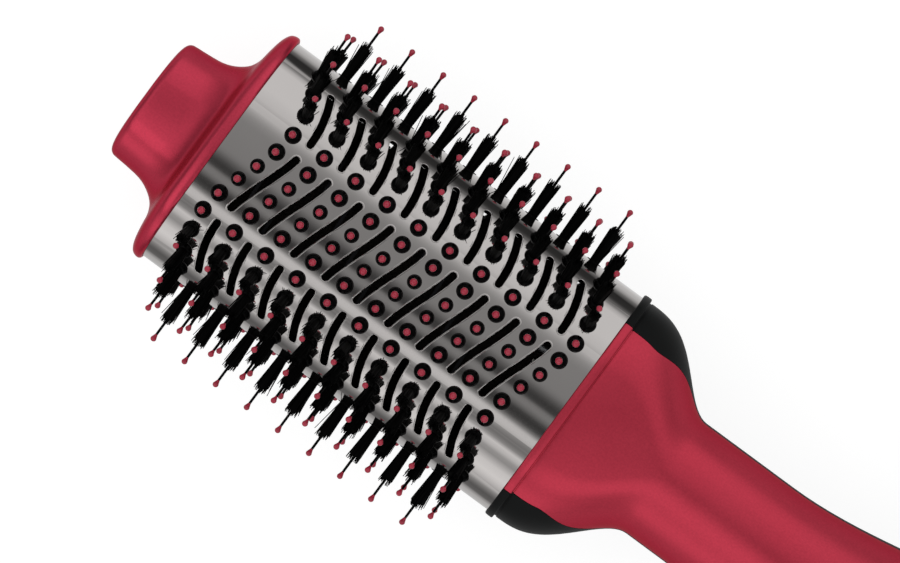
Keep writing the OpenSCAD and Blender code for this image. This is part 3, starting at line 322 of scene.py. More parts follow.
def loft(name, rings, finish, smooth=35):
    """A closed shape through the rings, each a list of (x, y, z) in millimetres."""
    piece = carried([[at(*point) for point in ring] for ring in rings], "NGON",
                    bpy.ops.mesh.extrude_region_move)
    bpy.ops.mesh.select_all(action="SELECT")
    bpy.ops.mesh.normals_make_consistent(inside=False)
    piece.data.materials.append(finish)
    return settle(piece, name, smooth)


def stadium(x, w, h, n):
    """A ring of 2n points round a stadium of half-width w and half-thickness h."""
    f, ring = w - h, []
    for side in (1, -1):
        for i in range(n):
            q = math.pi * ((i + 0.5) / n - 0.5)
            ring.append((x, side * (f + h * math.cos(q)), side * h * math.sin(q)))
    return ring


print("loft ready")

# %% [markdown]
# The cap is soft to the touch: a straight nose with a slightly domed end, a hollow flare and a
# thick round rim that laps the barrel. Its half-width at twenty places gives the profile, and a
# smooth curve through them gives the rings between.

# %% Model the cap
def through(points, steps):
    """A smooth curve through the points, with steps pieces between each two of them."""
    out = []
    for i in range(len(points) - 1):
        a, b = points[max(0, i - 1)], points[i]
        c, d = points[i + 1], points[min(len(points) - 1, i + 2)]
        for j in range(steps):
            t = j / steps
            out.append(tuple(0.5 * (2 * b[k] + (c[k] - a[k]) * t
                                    + (2 * a[k] - 5 * b[k] + 4 * c[k] - d[k]) * t * t
                                    + (3 * b[k] - a[k] - 3 * c[k] + d[k]) * t ** 3)
                             for k in range(2)))
    return out + [points[-1]]


NOSE_W, NOSE_T, RIM_W, RIM_T = 19.4, 13.5, 38.5, 23.3
cap_profile = [
    (0.0, 9.0), (0.15, 14.0), (0.5, 16.6), (1.1, 18.2), (2.0, 19.0), (3.2, 19.3), (7.1, 19.6),
    (12.0, 20.2), (15.6, 21.6), (18.4, 23.7), (19.8, 25.9), (20.5, 28.3), (20.9, 31.2), (21.4, 34.0),
    (22.0, 36.1), (23.0, 37.8), (24.3, 38.5), (25.5, 38.5), (26.1, 37.9), (26.1, 37.4),
]
cap_inside = [(24.0, 37.4), (24.0, 35.6), (23.5, 32.0), (20.3, 22.0), (2.8, 17.6), (1.8, 14.0), (1.8, 9.0)]


def cap_ring(x, w):
    """The cap's section where its half-width is w: as w grows the section gets rounder."""
    h = NOSE_T + (RIM_T - NOSE_T) * (w - NOSE_W) / (RIM_W - NOSE_W)
    return stadium(x, w, min(h, w - 0.5), 32)


rings = [cap_ring(x, w) for x, w in through(cap_profile, 3)] + [cap_ring(x, w) for x, w in cap_inside]
cap = loft("cap_shell", rings, cap_lacquer, 50)
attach(cap, "handle")
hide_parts("cool_tip")
print("cap:", len(cap.data.polygons), "faces")

# %% [markdown]
# The handle is two shells. The red cover wraps over the top of the shoulder and the black shell
# shows at its sides, so the joint between them starts high on the collar and falls to just above
# the middle of the side at the neck, where a thin black line of the shell is left. A thin gap
# runs along the joint.

# %% Model the handle shells
def smooth_step(t):
    t = min(1.0, max(0.0, t))
    return t * t * (3 - 2 * t)


def round_r(x):
    if x < X_BAY:
        return NECK_R + (BAY_R - NECK_R) * smooth_step((x - X_SWELL) / (X_BAY - X_SWELL))
    return BAY_R + (END_R - BAY_R) * smooth_step((x - X_BAY) / (X_DIAL - X_BAY))


# The joint's angle at the collar and at the neck, and the part of the shoulder over which it falls
COLLAR_JOINT, NECK_JOINT, FALL_FROM, FALL_RUN = 53.5, 11, 0.21, 0.67
SHELL_OVER = 0.2


def handle_section(x):
    """Half-width, half-thickness and the joint's angle, at a place along the handle."""
    t = min(1.0, max(0.0, (x - X_SHOULDER) / (X_NECK - X_SHOULDER)))
    kw, kt = smooth_step(t ** 1.4), smooth_step(t)
    w = (HALF_W + SHELL_OVER) * (1 - kw) + round_r(x) * kw
    h = (HALF_T + SHELL_OVER) * (1 - kt) + round_r(x) * kt
    fall = smooth_step((t - FALL_FROM) / FALL_RUN)
    return w, h, NECK_JOINT + (COLLAR_JOINT - NECK_JOINT) * (1 - fall)


def half_arc(x, w, h, joint, up):
    """Points of a half section, from the right joint over the top or the bottom to the left one."""
    f, end, arc = w - h, (90 if up else -90), []
    for i in range(ARC_STEPS + 1):
        q = math.radians(joint + (end - joint) * i / (ARC_STEPS + 0.35))
        arc.append((x, f + h * math.cos(q), h * math.sin(q)))
    return arc + [(p[0], -p[1], p[2]) for p in reversed(arc)]


WALL, ARC_STEPS = 2.0, 20
# Half of the gap along the joint: an angle in degrees at the collar, millimetres behind it
GAP_ANGLE, HALF_GAP = 0.3, 0.1


def shell_rings(up, groove):
    """Rings of one shell from the collar to the dial: the outer wall and back along the inner."""
    collar = [(X_COLLAR, 0.75, 0.25), (X_COLLAR + 0.12, 1.0, 0.25), (X_COLLAR + 0.4, 1.15, 0.25),
              (X_COLLAR + 1.1, 1.2, 0.25), (149.75 - groove, 1.2, 0.25), (149.98 - groove, 1.08, -1.8),
              (150.1 - groove, 0.8, -1.8), (150.14 - groove, 0.0, -1.8), (150.42, -0.05, -1.8),
              (150.47, 0.14, -1.8)]
    rings = []
    for x, out, inn in collar:
        joint = COLLAR_JOINT + (GAP_ANGLE if up else -GAP_ANGLE)
        rings.append(half_arc(x, HALF_W + out, HALF_T + out, joint, up)
                     + half_arc(x, HALF_W + inn, HALF_T + inn, joint, up)[::-1])
    xs = [X_SHOULDER - 0.3 + (X_NECK - X_SHOULDER + 0.3) * i / 30 for i in range(31)]
    xs += [X_NECK + (X_SWELL - X_NECK) * i / 6 for i in range(1, 7)]
    xs += [X_SWELL + (X_BAY - X_SWELL) * i / 20 for i in range(1, 21)]
    xs += [X_BAY + (X_DIAL - X_BAY) * i / 8 for i in range(1, 9)]
    for x in xs:
        w, h, joint = handle_section(x)
        joint += math.degrees((HALF_GAP if up else -HALF_GAP) / h)
        rings.append(half_arc(x, w, h, joint, up)
                     + half_arc(x, w - WALL, h - WALL, joint, up)[::-1])
    return rings


cover = loft("red_cover", shell_rings(True, 0.0), red_lacquer, 40)
shell = loft("black_shell", shell_rings(False, 0.25), black_abs, 40)
for piece, node, slot in ((cover, "front_cover", "cover_red"), (shell, "rear_shell", "shell_black")):
    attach(piece, "handle")
    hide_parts(node)
print("shells:", len(cover.data.polygons), len(shell.data.polygons), "faces")

# %% [markdown]
# ## Pins and bristles
# The pattern is ten columns wide and its rows wander: along a row nothing moves, but from row to
# row the pins shift along the brush by one wave. Rows 0 to 2 on each side of the middle carry face
# pins, rows 3 to 5 carry tufts, and one more row of tufts stands on the side between the columns.

# %% Where the pins stand
COLS, COL_PITCH, ROW_FIRST, ROW_PITCH, ROW_SPREAD = 10, 10.95, 3.0, 6.3, 0.07
WAVE_SHIFT, WAVE_LEN = 4.05, 34.0
GOLDEN = math.pi * (3 - math.sqrt(5))
PATTERN_X = X_RIM + (X_COLLAR - X_RIM) / 2 - 0.42


def row_s(k):
    return ROW_FIRST + k * (ROW_PITCH + k * ROW_SPREAD)


def wave(s):
    return math.copysign(WAVE_SHIFT * math.sin(math.pi * min(abs(s), WAVE_LEN) / WAVE_LEN), s)


def col_x(i):
    return PATTERN_X + (i - (COLS - 1) / 2) * COL_PITCH


def on_skin(x, s, turn=0.0, back=False):
    """The matrix that stands a piece on the barrel, its own Z out of the surface."""
    y, z, q = skin(s)
    spot = Matrix.Translation((x * MM, y * MM, z * MM)) @ Matrix.Rotation(-q, 4, "X")
    flip = Matrix.Rotation(math.pi, 4, "X") if back else Matrix.Identity(4)
    return Matrix.Translation(at(0, 0, 0)) @ flip @ spot @ Matrix.Rotation(turn, 4, "Z")


def row_places(rows, side, back):
    return [(k, on_skin(col_x(i) + side * wave(row_s(k)), side * row_s(k), GOLDEN * (i + 3 * k), back))
            for k in rows for i in range(COLS)]


def edge_places(back):
    return [(EDGE_ROW, on_skin(x, SIDE_S, GOLDEN * i, back)) for i, x in enumerate(between_columns)]


PIN_ROWS, TUFT_ROWS, EDGE_ROW = range(3), range(3, 6), 6
between_columns = [(col_x(i) + col_x(i + 1)) / 2 for i in range(COLS - 1)]
face_places = {"front": row_places(PIN_ROWS, 1, False) + row_places(PIN_ROWS, -1, False),
               "back": row_places(PIN_ROWS, 1, True) + row_places(PIN_ROWS, -1, True)}
tuft_places = {"left": row_places(TUFT_ROWS, 1, False) + row_places(TUFT_ROWS, -1, True)
               + edge_places(False),
               "right": row_places(TUFT_ROWS, -1, False) + row_places(TUFT_ROWS, 1, True)
               + edge_places(True)}
print("face pins:", sum(map(len, face_places.values())), "tufts:", sum(map(len, tuft_places.values())))

# %% [markdown]
# A pin stands on a black domed boss that fills its hole in the barrel. Its end carries a drop of
# crimson resin, round at the top and drawn out along the pin. Boss, pin and drop are modelled
# once and copied, and the copies of one carrier are joined to one piece.

# %% Model a boss and a pin
def planted(model, places, name):
    """Copies model's mesh to each matrix and joins the copies into one piece."""
    copies = []
    for matrix in places:
        twin = bpy.data.objects.new(name, model.data.copy())
        twin.data.transform(matrix)
        bpy.context.scene.collection.objects.link(twin)
        copies.append(twin)
    nothing_selected()
    for twin in copies:
        twin.select_set(True)
    bpy.context.view_layer.objects.active = copies[0]
    if len(copies) > 1:
        bpy.ops.object.join()
    made = bpy.context.object
    made.name = made.data.name = name
    return made


def drop_model(model):
    mesh = model.data
    bpy.data.objects.remove(model)
    bpy.data.meshes.remove(mesh)


BOSS_FOOT, BOSS_UP, EDGE_BOSS_UP = 1.35, 1.3, 0.15
SMALL_BOSS_R, WIDE_BOSS_R = 2.0, 2.35
# Height of the tip over the barrel, thickness of the pin and radius of its drop
FACE_PIN, TUFT_PIN = (8.5, 1.0, 1.1), (18.1, 0.8, 0.9)


def boss_model(radius, up=BOSS_UP):
    nothing_selected()
    height = BOSS_FOOT + up
    bpy.ops.mesh.primitive_cylinder_add(vertices=14, radius=radius * MM, depth=height * MM,
                                        location=(0, 0, (up - height / 2) * MM))
    boss = bpy.context.object
    bpy.ops.object.transform_apply(location=True)
    bpy.ops.object.mode_set(mode="EDIT")
    pick(boss, lambda f: f.calc_center_median().z > 0.92 * up * MM, "FACE")
    bpy.ops.mesh.bevel(offset=0.75 * up * MM, segments=3, profile=0.55, affect="EDGES")
    bpy.ops.object.mode_set(mode="OBJECT")
    boss.data.materials.append(black_nylon)
    return settle(boss, "boss_model", 60)


def pin_model(height, thick, ball):
    """Pin with its drop, the tip at the given height over the barrel; ball is the drop's radius."""
    nothing_selected()
    depth = height - 1.5 * ball
    bpy.ops.mesh.primitive_cylinder_add(vertices=7, radius=thick / 2 * MM, depth=depth * MM,
                                        end_fill_type="NOTHING", location=(0, 0, depth / 2 * MM))
    shaft = bpy.context.object
    shaft.data.materials.append(black_nylon)
    shaft.data.materials.append(tip_resin)
    nothing_selected()
    bpy.ops.mesh.primitive_uv_sphere_add(segments=12, ring_count=8, radius=ball * MM,
                                         location=(0, 0, (height - ball) * MM))
    drop = bpy.context.object
    drop.data.materials.append(black_nylon)
    drop.data.materials.append(tip_resin)
    bpy.ops.object.mode_set(mode="EDIT")
    bpy.ops.mesh.select_all(action="SELECT")
    bpy.context.object.active_material_index = 1
    bpy.ops.object.material_slot_assign()
    neck = -0.3 * ball * MM
    pick(drop, lambda v: v.co.z < neck)
    bpy.ops.transform.resize(value=(0.84, 0.84, 3.2),
                             center_override=drop.matrix_world @ Vector((0, 0, neck)))
    pick(drop, lambda v: v.co.z < 4.5 * neck)
    bpy.ops.transform.resize(value=(0.7, 0.7, 1.0), center_override=drop.location)
    bpy.ops.object.mode_set(mode="OBJECT")
    shaft.select_set(True)
    bpy.ops.object.join()
    return settle(bpy.context.object, "pin_model", 60)


small_boss, wide_boss = boss_model(SMALL_BOSS_R), boss_model(WIDE_BOSS_R)
edge_boss = boss_model(WIDE_BOSS_R, EDGE_BOSS_UP)
face_pin, tuft_pin = pin_model(*FACE_PIN), pin_model(*TUFT_PIN)
print("boss:", len(wide_boss.data.polygons), "faces, pin:", len(face_pin.data.polygons), "faces")

# %% [markdown]
# A tuft is a bundle of nylon bristles set in one hole: close together at the root, fanned out at
# the tip, and cut a little unevenly. Real bristles are about 0.15 mm thick, half a pixel here, and
# stand too close to count or to see between. So each is drawn 0.3 mm thick, and a dark tapered core
# stands for those in the middle. Six different bundles, each turned its own way, are enough that no
# two neighbours look alike.

# %% Model the tufts
def cone_between(root, tip, thick, thin, sides):
    way = tip - root
    bpy.ops.mesh.primitive_cone_add(vertices=sides, radius1=thick * MM, radius2=thin * MM,
                                    depth=way.length * MM, location=(root + tip) / 2 * MM,
                                    rotation=way.to_track_quat("Z", "Y").to_euler())
    return bpy.context.object


BUNDLES, BRISTLES, BRISTLE_H = 6, 64, 11.9


def tuft_model(seed):
    dice = random.Random(seed)
    nothing_selected()
    parts = [cone_between(Vector((0, 0, 0)), Vector((0.15, 0, BRISTLE_H - 1.7)), 1.45, 1.7, 7)]
    for i in range(BRISTLES):
        angle = i * GOLDEN + dice.uniform(-0.2, 0.2)
        reach = math.sqrt((i + 0.5) / BRISTLES)
        out = Vector((math.cos(angle), math.sin(angle), 0))
        root = out * 1.5 * reach
        fan = 0.6 * reach * dice.uniform(0.6, 1.3) + (0.9 if dice.random() < 0.04 else 0.0)
        tip = root + out * fan
        tip.z = BRISTLE_H + dice.uniform(-1.9, 0.3) - 0.4 * reach
        root.z = 0.05
        parts.append(cone_between(root, tip, 0.17, 0.12, 3))
    for part in parts:
        part.select_set(True)
    bpy.ops.object.join()
    tuft = bpy.context.object
    tuft.data.materials.append(bristle_nylon)
    return settle(tuft, "tuft_model", 0)


tufts = [tuft_model(seed) for seed in range(BUNDLES)]
print("tuft:", len(tufts[0].data.polygons), "faces")

# %% [markdown]
# The carriers under the barrel keep their CAD shape, with their slots, but what stood on them is
# taken off: a copy of the node is merged, all that rises above the carrier's own wall is
# deleted, and the round holes that this leaves are filled.

# %% Carriers, bosses, pins and tufts
def over_skin(p):
    """How far a point of the frame lies outside the barrel's surface, in millimetres."""
    y, z = p.y / MM, (p.z - axis_z) / MM
    return math.hypot(max(abs(y) - FLAT_W, 0.0), z) - HALF_T


MERGE = 2e-6


def merged_copy(node, name):
    """A copy of a CAD node with its loose triangles merged, left in edit mode."""
    piece = bpy.data.objects.new(name, frame["nodes"][node].data.copy())
    bpy.context.scene.collection.objects.link(piece)
    only(piece)
    bpy.ops.object.mode_set(mode="EDIT")
    bpy.ops.mesh.select_all(action="SELECT")
    bpy.ops.mesh.remove_doubles(threshold=MERGE)
    return piece


CARRIER_TOP = -1.25


def carrier_of(node, name):
    carrier = merged_copy(node, name)
    pick(carrier, lambda v: over_skin(v.co) > CARRIER_TOP)
    bpy.ops.mesh.delete(type="VERT")
    bpy.ops.mesh.select_all(action="SELECT")
    bpy.ops.mesh.fill_holes(sides=0)
    return settle(carrier, name, 30)


def join_up(pieces, name):
    nothing_selected()
    for piece in pieces:
        piece.select_set(True)
    bpy.context.view_layer.objects.active = pieces[0]
    bpy.ops.object.join()
    made = bpy.context.object
    made.name = made.data.name = name
    return made


for face, places in face_places.items():
    carrier = carrier_of(face + "_pin_insert", face + "_pin_carrier")
    bosses = join_up([planted(small_boss, [m for k, m in places if k == 0], "a"),
                      planted(wide_boss, [m for k, m in places if k > 0], "b")], face + "_pin_bosses")
    pins = planted(face_pin, [m for k, m in places], face + "_pins")
    for piece in (carrier, bosses, pins):
        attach(piece, "handle")
    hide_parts(face + "_pin_insert")

for side, places in tuft_places.items():
    carrier = carrier_of(side + "_tuft_insert", side + "_tuft_carrier")
    bosses = join_up([planted(wide_boss, [m for k, m in places if k < EDGE_ROW], "a"),
                      planted(edge_boss, [m for k, m in places if k == EDGE_ROW], "b")],
                     side + "_tuft_bosses")
    pins = planted(tuft_pin, [m for k, m in places], side + "_tuft_pins")
    bundles = [planted(tuft, [m for i, (k, m) in enumerate(places) if i % BUNDLES == j], "tufts")
               for j, tuft in enumerate(tufts)]
    bristles = join_up(bundles, side + "_bristles")
    for piece in (carrier, bosses, pins, bristles):
        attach(piece, "handle")
    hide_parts(side + "_tuft_insert")

for model in (small_boss, wide_boss, edge_boss, face_pin, tuft_pin, *tufts):
    drop_model(model)

# %% [markdown]
# The mica board of the heater runs from one tie rod to the other. The CAD part leaves a fitting gap
# of 0.2 mm at each rod, and through it the white floor would shine out of the slots. So a copy of
# the board, with its long edges moved up to the rods, takes the board's place.

# %% Heater board up to the rods
BOARD_EDGE, ROD_GAP = 29.8, 0.17
mica = merged_copy("mica_frame", "mica_board")
for side in (1, -1):
    pick(mica, lambda v: abs(v.co.y * side / MM - BOARD_EDGE) < 0.02)
    bpy.ops.transform.translate(value=(0, side * ROD_GAP * MM, 0))
settle(mica, "mica_board", 30)
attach(mica, "handle")
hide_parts("mica_frame")
print("mica board is", round(mica.dimensions.y / MM, 2), "mm wide")

# %% [markdown]
# ## Rolled edges of the slots
# The slots are pressed through the sheet, and their edges are rolled slightly proud. On the bright
# metal this shows as a thin light line along one side and a dark one along the other, so it is
# worth real geometry: a low rim, 0.03 mm high and half a millimetre wide, that follows each slot. The
# three slots of one column are modelled once, and the other columns and the back are copies.

# %% Rims round the slots
SLOT_W = 2.3
SLOT_MID = row_s(1) + 1.45
SLOT_SIDE = (row_s(2) + 0.7, row_s(4) + 2.9)
RIM_SECTION = [(-0.01, -0.3), (-0.01, 0.0), (0.12, 0.03), (0.3, 0.025), (0.5, -0.03), (0.3, -0.3)]


def slot_outline(s0, s1, out, n=16):
    """Points (x, s) round a slot, a distance out from its edge, x from the slot's own middle."""
    line = [Vector((wave(s0 + (s1 - s0) * i / n), s0 + (s1 - s0) * i / n)) for i in range(n + 1)]
    ways = [(line[min(n, i + 1)] - line[max(0, i - 1)]).normalized() for i in range(n + 1)]
    half = SLOT_W / 2 + out
    ends = [(line[-1], ways[-1], -90), (line[0], ways[0], 90)]
    sides = [[p + Vector((w.y, -w.x)) * half for p, w in zip(line, ways)],
             [p - Vector((w.y, -w.x)) * half for p, w in zip(reversed(line), reversed(ways))]]
    points = []
    for side, (p, w, start) in zip(sides, ends):
        points += side + [p + (Matrix.Rotation(math.radians(start + 180 * j / 8), 2) @ w) * half
                          for j in range(1, 8)]
    return points


def rim_model(s0, s1):
    """One slot's rim at x = 0, as a closed ring: its section is carried round the outline."""
    rings = []
    for out, up in RIM_SECTION + RIM_SECTION[:1]:
        ring = []
        for p in slot_outline(s0, s1, out):
            y, z, q = skin(p.y)
            ring.append(Vector((p.x, y + up * math.sin(q), z + up * math.cos(q))) * MM)
        rings.append(ring)
    rim = carried(rings, "NOTHING", bpy.ops.mesh.extrude_edges_move)
    bpy.ops.mesh.select_all(action="SELECT")
    bpy.ops.mesh.remove_doubles(threshold=1e-6)
    bpy.ops.mesh.normals_make_consistent(inside=False)
    rim.data.materials.append(coated_aluminium)
    return settle(rim, "rim_model", 80)


column = join_up([rim_model(-SLOT_MID, SLOT_MID), rim_model(*SLOT_SIDE), rim_model(*(-s for s in SLOT_SIDE))],
                 "slot_column")
turned_over = Matrix.Rotation(math.pi, 4, "X")
slot_rims = planted(column, [Matrix.Translation(at(x, 0, 0)) @ flip for x in between_columns
                             for flip in (Matrix.Identity(4), turned_over)], "slot_rims")
drop_model(column)
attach(slot_rims, "handle")
print("slot rims:", len(slot_rims.data.polygons), "faces")

# %% [markdown]
# ## Camera, floor and light
# The photograph was taken from straight above with a long lens: the brush runs down to the right
# at 36.4 degrees, and the camera stands over the barrel, a little past its upper side. The lens
# makes one pixel 0.2833 mm at the height of the axis, 2.4 m away.

# %% Camera
PX, SLOPE, PHOTO_W, SENSOR_W = 0.2833, math.radians(36.4), 900, 36
# The middle of the photograph, in pixels from the tip along the brush and across it
MIDDLE_ALONG, MIDDLE_ACROSS = 355, 30
STAND_X, STAND_Y, DISTANCE = 130.0, 65.0, 2400.0

target = at(MIDDLE_ALONG * PX, MIDDLE_ACROSS * PX, 0)
stand = at(STAND_X, STAND_Y, DISTANCE)
lens = bpy.data.cameras.new("camera")
lens.sensor_width = SENSOR_W
lens.lens = SENSOR_W * (stand - target).length / (PHOTO_W * PX * MM)
lens.clip_start, lens.clip_end = 0.05, 20
camera = bpy.data.objects.new("camera", lens)
bpy.context.scene.collection.objects.link(camera)
bpy.context.scene.camera = camera
look = (stand - target).normalized()
up = Vector((-math.sin(SLOPE), math.cos(SLOPE), 0))
right = up.cross(look).normalized()
up = look.cross(right)
camera.matrix_world = Matrix.Translation(stand) @ Matrix((right, up, look)).transposed().to_4x4()
print("lens:", round(lens.lens, 1), "mm")

# %% [markdown]
# The backdrop is plain white. The camera sees the paper lifted to white, with the brush's soft
# shadow still on it. For reflections the paper shows painted bands instead: bright close to the
# brush, dark further out and lighter again far out towards -Y. Beside the cap and the handle the
# painted reflection is an even mid grey, because their satin red spreads what it mirrors.

# %% Floor and backdrop
def grey(level):
    return level, level, level, 1


def ramp(tree, value, stops):
    """A colour ramp through (position, grey level) stops."""
    made = add(tree, "ShaderNodeValToRGB", {0: value})
    marks = made.color_ramp.elements
    for n, (position, level) in enumerate(stops):
        mark = marks[n] if n < 2 else marks.new(position)
        mark.position, mark.color = position, grey(level)
    return made.outputs[0]


X_MIDDLE, BARREL_HALF, FADE = 87.0, 72.0, 15.0
PAPER_SIZE, PAPER_DROP, MIRRORED_HALF = 12, 0.0002, 0.8
# Levels of the paper: as it bounces light, under the lift, the lift itself, and mirrored at the ends
BOUNCE, SHADOW, LIFT, AT_ENDS = 0.8, 0.25, 0.84, 0.55
nothing_selected()
bpy.ops.mesh.primitive_plane_add(size=PAPER_SIZE, location=(0, 0, -PAPER_DROP))
floor = bpy.context.object
floor.name = "floor"
paper, tree = empty_material("white_paper_and_painted_reflection")
spot = add(tree, "ShaderNodeSeparateXYZ", {0: add(tree, "ShaderNodeTexCoord").outputs["Object"]})
across = add(tree, "ShaderNodeMapRange",
             {"Value": spot.outputs["Y"], "From Min": -MIRRORED_HALF, "From Max": MIRRORED_HALF})
# Painted reflection: the paper's colour for glossy rays, in bands across Y and an even grey past the barrel's ends
mirrored = ramp(tree, across.outputs[0], [((y + MIRRORED_HALF) / (2 * MIRRORED_HALF), level) for y, level in (
    (-0.8, 0.8), (0.8, 0.2), (-0.57, 0.7), (-0.235, 0.33), (-0.147, 0.17), (-0.101, 0.2), (-0.074, 0.68),
    (-0.052, 0.65), (0.054, 0.82), (0.079, 0.72), (0.109, 0.24), (0.15, 0.04), (0.29, 0.05))])
past_middle = add(tree, "ShaderNodeMath", {0: spot.outputs["X"], 1: at(X_MIDDLE, 0, 0).x},
                  operation="SUBTRACT")
past_middle = add(tree, "ShaderNodeMath", {0: past_middle.outputs[0]}, operation="ABSOLUTE")
at_ends = add(tree, "ShaderNodeMapRange",
              {"Value": past_middle.outputs[0], "From Min": BARREL_HALF * MM,
               "From Max": (BARREL_HALF + FADE) * MM})
mirrored = add(tree, "ShaderNodeMix", {0: at_ends.outputs[0], 6: mirrored, 7: grey(AT_ENDS)},
               data_type="RGBA").outputs[2]
ray = add(tree, "ShaderNodeLightPath")
plain = add(tree, "ShaderNodeBsdfDiffuse", {"Color": grey(BOUNCE)})
shadow = add(tree, "ShaderNodeBsdfDiffuse", {"Color": grey(SHADOW)})
lift = add(tree, "ShaderNodeEmission", {"Color": grey(1), "Strength": LIFT})
seen = add(tree, "ShaderNodeAddShader", {0: shadow.outputs[0], 1: lift.outputs[0]})
# The paper glows with the painted reflection for glossy rays only
glossy = add(tree, "ShaderNodeEmission", {"Color": mirrored, "Strength": 1.0})
camera_or_light = add(tree, "ShaderNodeMixShader",
                      {0: ray.outputs["Is Camera Ray"], 1: plain.outputs[0], 2: seen.outputs[0]})
final = add(tree, "ShaderNodeMixShader",
            {0: ray.outputs["Is Glossy Ray"], 1: camera_or_light.outputs[0], 2: glossy.outputs[0]})
add(tree, "ShaderNodeOutputMaterial", {"Surface": final.outputs[0]})
floor.data.materials.append(paper)
print("paper:", PAPER_SIZE, "m wide,", len(tree.nodes), "nodes")

# %% [markdown]
# The light is a soft even sky. What is polished sees more: long soft boxes hang along the brush on
# both sides, and it is dark straight overhead, where the camera is. So the sky's brightness for
# reflections depends on the angle round the brush, and it falls off past the boxes' ends.

# %% World light
SKY, BOX_FADE, BOX_ENDS = 0.85, (0.3, 0.8), 0.3
world = bpy.data.worlds.new("studio")
bpy.context.scene.world = world
world.use_nodes = True
tree = world.node_tree
tree.nodes.clear()
ray = add(tree, "ShaderNodeLightPath")
way = add(tree, "ShaderNodeSeparateXYZ", {0: add(tree, "ShaderNodeTexCoord").outputs["Generated"]})
round_brush = add(tree, "ShaderNodeMath", {0: way.outputs["Y"], 1: way.outputs["Z"]}, operation="ARCTAN2")
turned = add(tree, "ShaderNodeMapRange",
             {"Value": round_brush.outputs[0], "From Min": -math.pi / 2, "From Max": math.pi / 2})
boxes = ramp(tree, turned.outputs[0], [((angle + 90) / 180, level) for angle, level in (
    (-90, 0.75), (90, 0.3), (-79, 1.03), (-72, 1.15), (-58, 1.03), (-51, 0.75), (-44, 0.48), (-38, 0.54),
    (-32, 0.85), (-26, 1.0), (-20, 0.42), (-14, 0.28), (3, 0.6), (17, 0.88), (35, 0.98), (76, 0.97),
    (83, 0.73))])
along = add(tree, "ShaderNodeMath", {0: way.outputs["X"]}, operation="ABSOLUTE")
ends = ramp(tree, along.outputs[0], ((BOX_FADE[0], 1.0), (BOX_FADE[1], BOX_ENDS)))
boxes = add(tree, "ShaderNodeMix", {0: 1.0, 6: boxes, 7: ends},
            data_type="RGBA", blend_type="MULTIPLY").outputs[2]
even = add(tree, "ShaderNodeBackground", {"Color": grey(1), "Strength": SKY})
shown = add(tree, "ShaderNodeBackground", {"Color": grey(1), "Strength": 1.0})
banded = add(tree, "ShaderNodeBackground", {"Color": boxes, "Strength": 1.0})
first = add(tree, "ShaderNodeMixShader",
            {0: ray.outputs["Is Glossy Ray"], 1: even.outputs[0], 2: banded.outputs[0]})
second = add(tree, "ShaderNodeMixShader",
             {0: ray.outputs["Is Camera Ray"], 1: first.outputs[0], 2: shown.outputs[0]})
add(tree, "ShaderNodeOutputWorld", {"Surface": second.outputs[0]})
print("world:", len(tree.nodes), "nodes")

# %% [markdown]
# Two soft boxes beyond the ends of the brush add a little light from above, which gives the shadow on
# the paper its soft edge. The barrel can't mirror them into the camera, because it is straight along
# its length.

# %% Soft boxes
LAMP_SIZE, LAMP_ENERGY = 0.5, 0.35
for side in (1, -1):
    lamp = bpy.data.lights.new("soft_box", "AREA")
    lamp.shape, lamp.size, lamp.energy = "DISK", LAMP_SIZE, LAMP_ENERGY
    lamp_at = bpy.data.objects.new("soft_box", lamp)
    bpy.context.scene.collection.objects.link(lamp_at)
    place = Vector((side * 0.45 - 0.1, -0.2, 0.65))
    facing = (place - at(90, 0, 0)).to_track_quat("Z", "Y").to_matrix().to_4x4()
    lamp_at.matrix_world = Matrix.Translation(place) @ facing
print("lamps:", len(bpy.data.lights))

# %% [markdown]
# Three overhead boards stand in for the camera's surroundings. Only reflections see them. The
# middle one is narrow, and its stripes give the flat face of the barrel the grey bands of the
# photograph. Those over the cap and the handle are wide and go softly from dark, over the middle, to
# light at both sides, which rounds the satin red.

# %% Overhead boards
BOARD_UP = 122


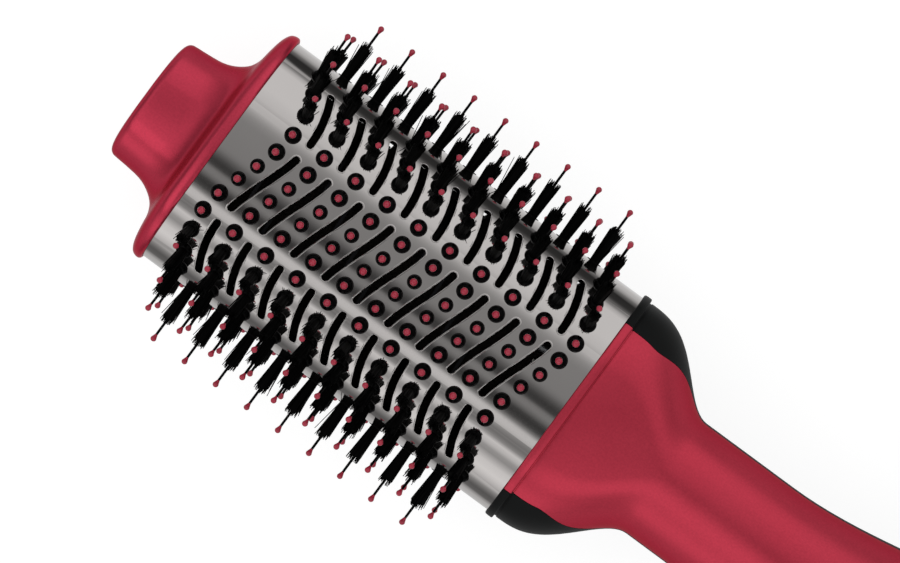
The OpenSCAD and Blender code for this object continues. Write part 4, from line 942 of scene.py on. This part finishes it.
def overhead_board(name, x0, x1, half, stops):
    """A board from x0 to x1 and half wide each way, with (y, level) stops across it, in millimetres."""
    nothing_selected()
    middle = at((x0 + x1) / 2, 0, BOARD_UP)
    bpy.ops.mesh.primitive_plane_add(size=1, location=middle)
    board = bpy.context.object
    board.name = name
    board.scale = ((x1 - x0) * MM, 2 * half * MM, 1)
    bpy.ops.object.transform_apply(location=False, rotation=False, scale=True)
    board.visible_camera = board.visible_diffuse = board.visible_shadow = False
    card, tree = empty_material(name)
    spot = add(tree, "ShaderNodeSeparateXYZ", {0: add(tree, "ShaderNodeTexCoord").outputs["Object"]})
    across = add(tree, "ShaderNodeMapRange",
                 {"Value": spot.outputs["Y"], "From Min": -half * MM, "From Max": half * MM})
    stripes = ramp(tree, across.outputs[0], [((y + half) / (2 * half), level) for y, level in stops])
    glow = add(tree, "ShaderNodeEmission", {"Color": stripes, "Strength": 1.0})
    add(tree, "ShaderNodeOutputMaterial", {"Surface": glow.outputs[0]})
    board.data.materials.append(card)


overhead_board("barrel_board", 18, 158, 35, (
    (-35, 0.28), (35, 0.88), (-30.8, 0.32), (-20, 0.5), (-17.6, 0.9), (-16.2, 0.9), (-15.1, 0.33), (-14, 0.1),
    (-12.7, 0.06), (-11.5, 0.085), (-10.3, 0.23), (-9.2, 0.33), (-8, 0.31), (-6.9, 0.085), (-5.6, 0.065),
    (-4.4, 0.11), (-3.3, 0.19), (-2, 0.3), (-0.9, 0.34), (8.5, 0.36), (9.7, 0.4), (10.8, 0.45), (12.1, 0.59),
    (13.2, 0.77)))
overhead_board("cap_board", -45, 18, 110, (
    (-110, 1.3), (110, 0.9), (-20, 1.25), (-9, 0.5), (-3, 0.12), (4, 0.2), (22, 0.8)))
overhead_board("handle_board", 158, 460, 110, (
    (-110, 1.1), (110, 0.8), (-44, 1.05), (-20, 0.8), (-9, 0.34), (-1, 0.1), (10, 0.32), (26, 0.5),
    (45, 0.7)))
bpy.context.scene.view_settings.view_transform = "Standard"
print("boards hang", BOARD_UP, "mm over the axis")
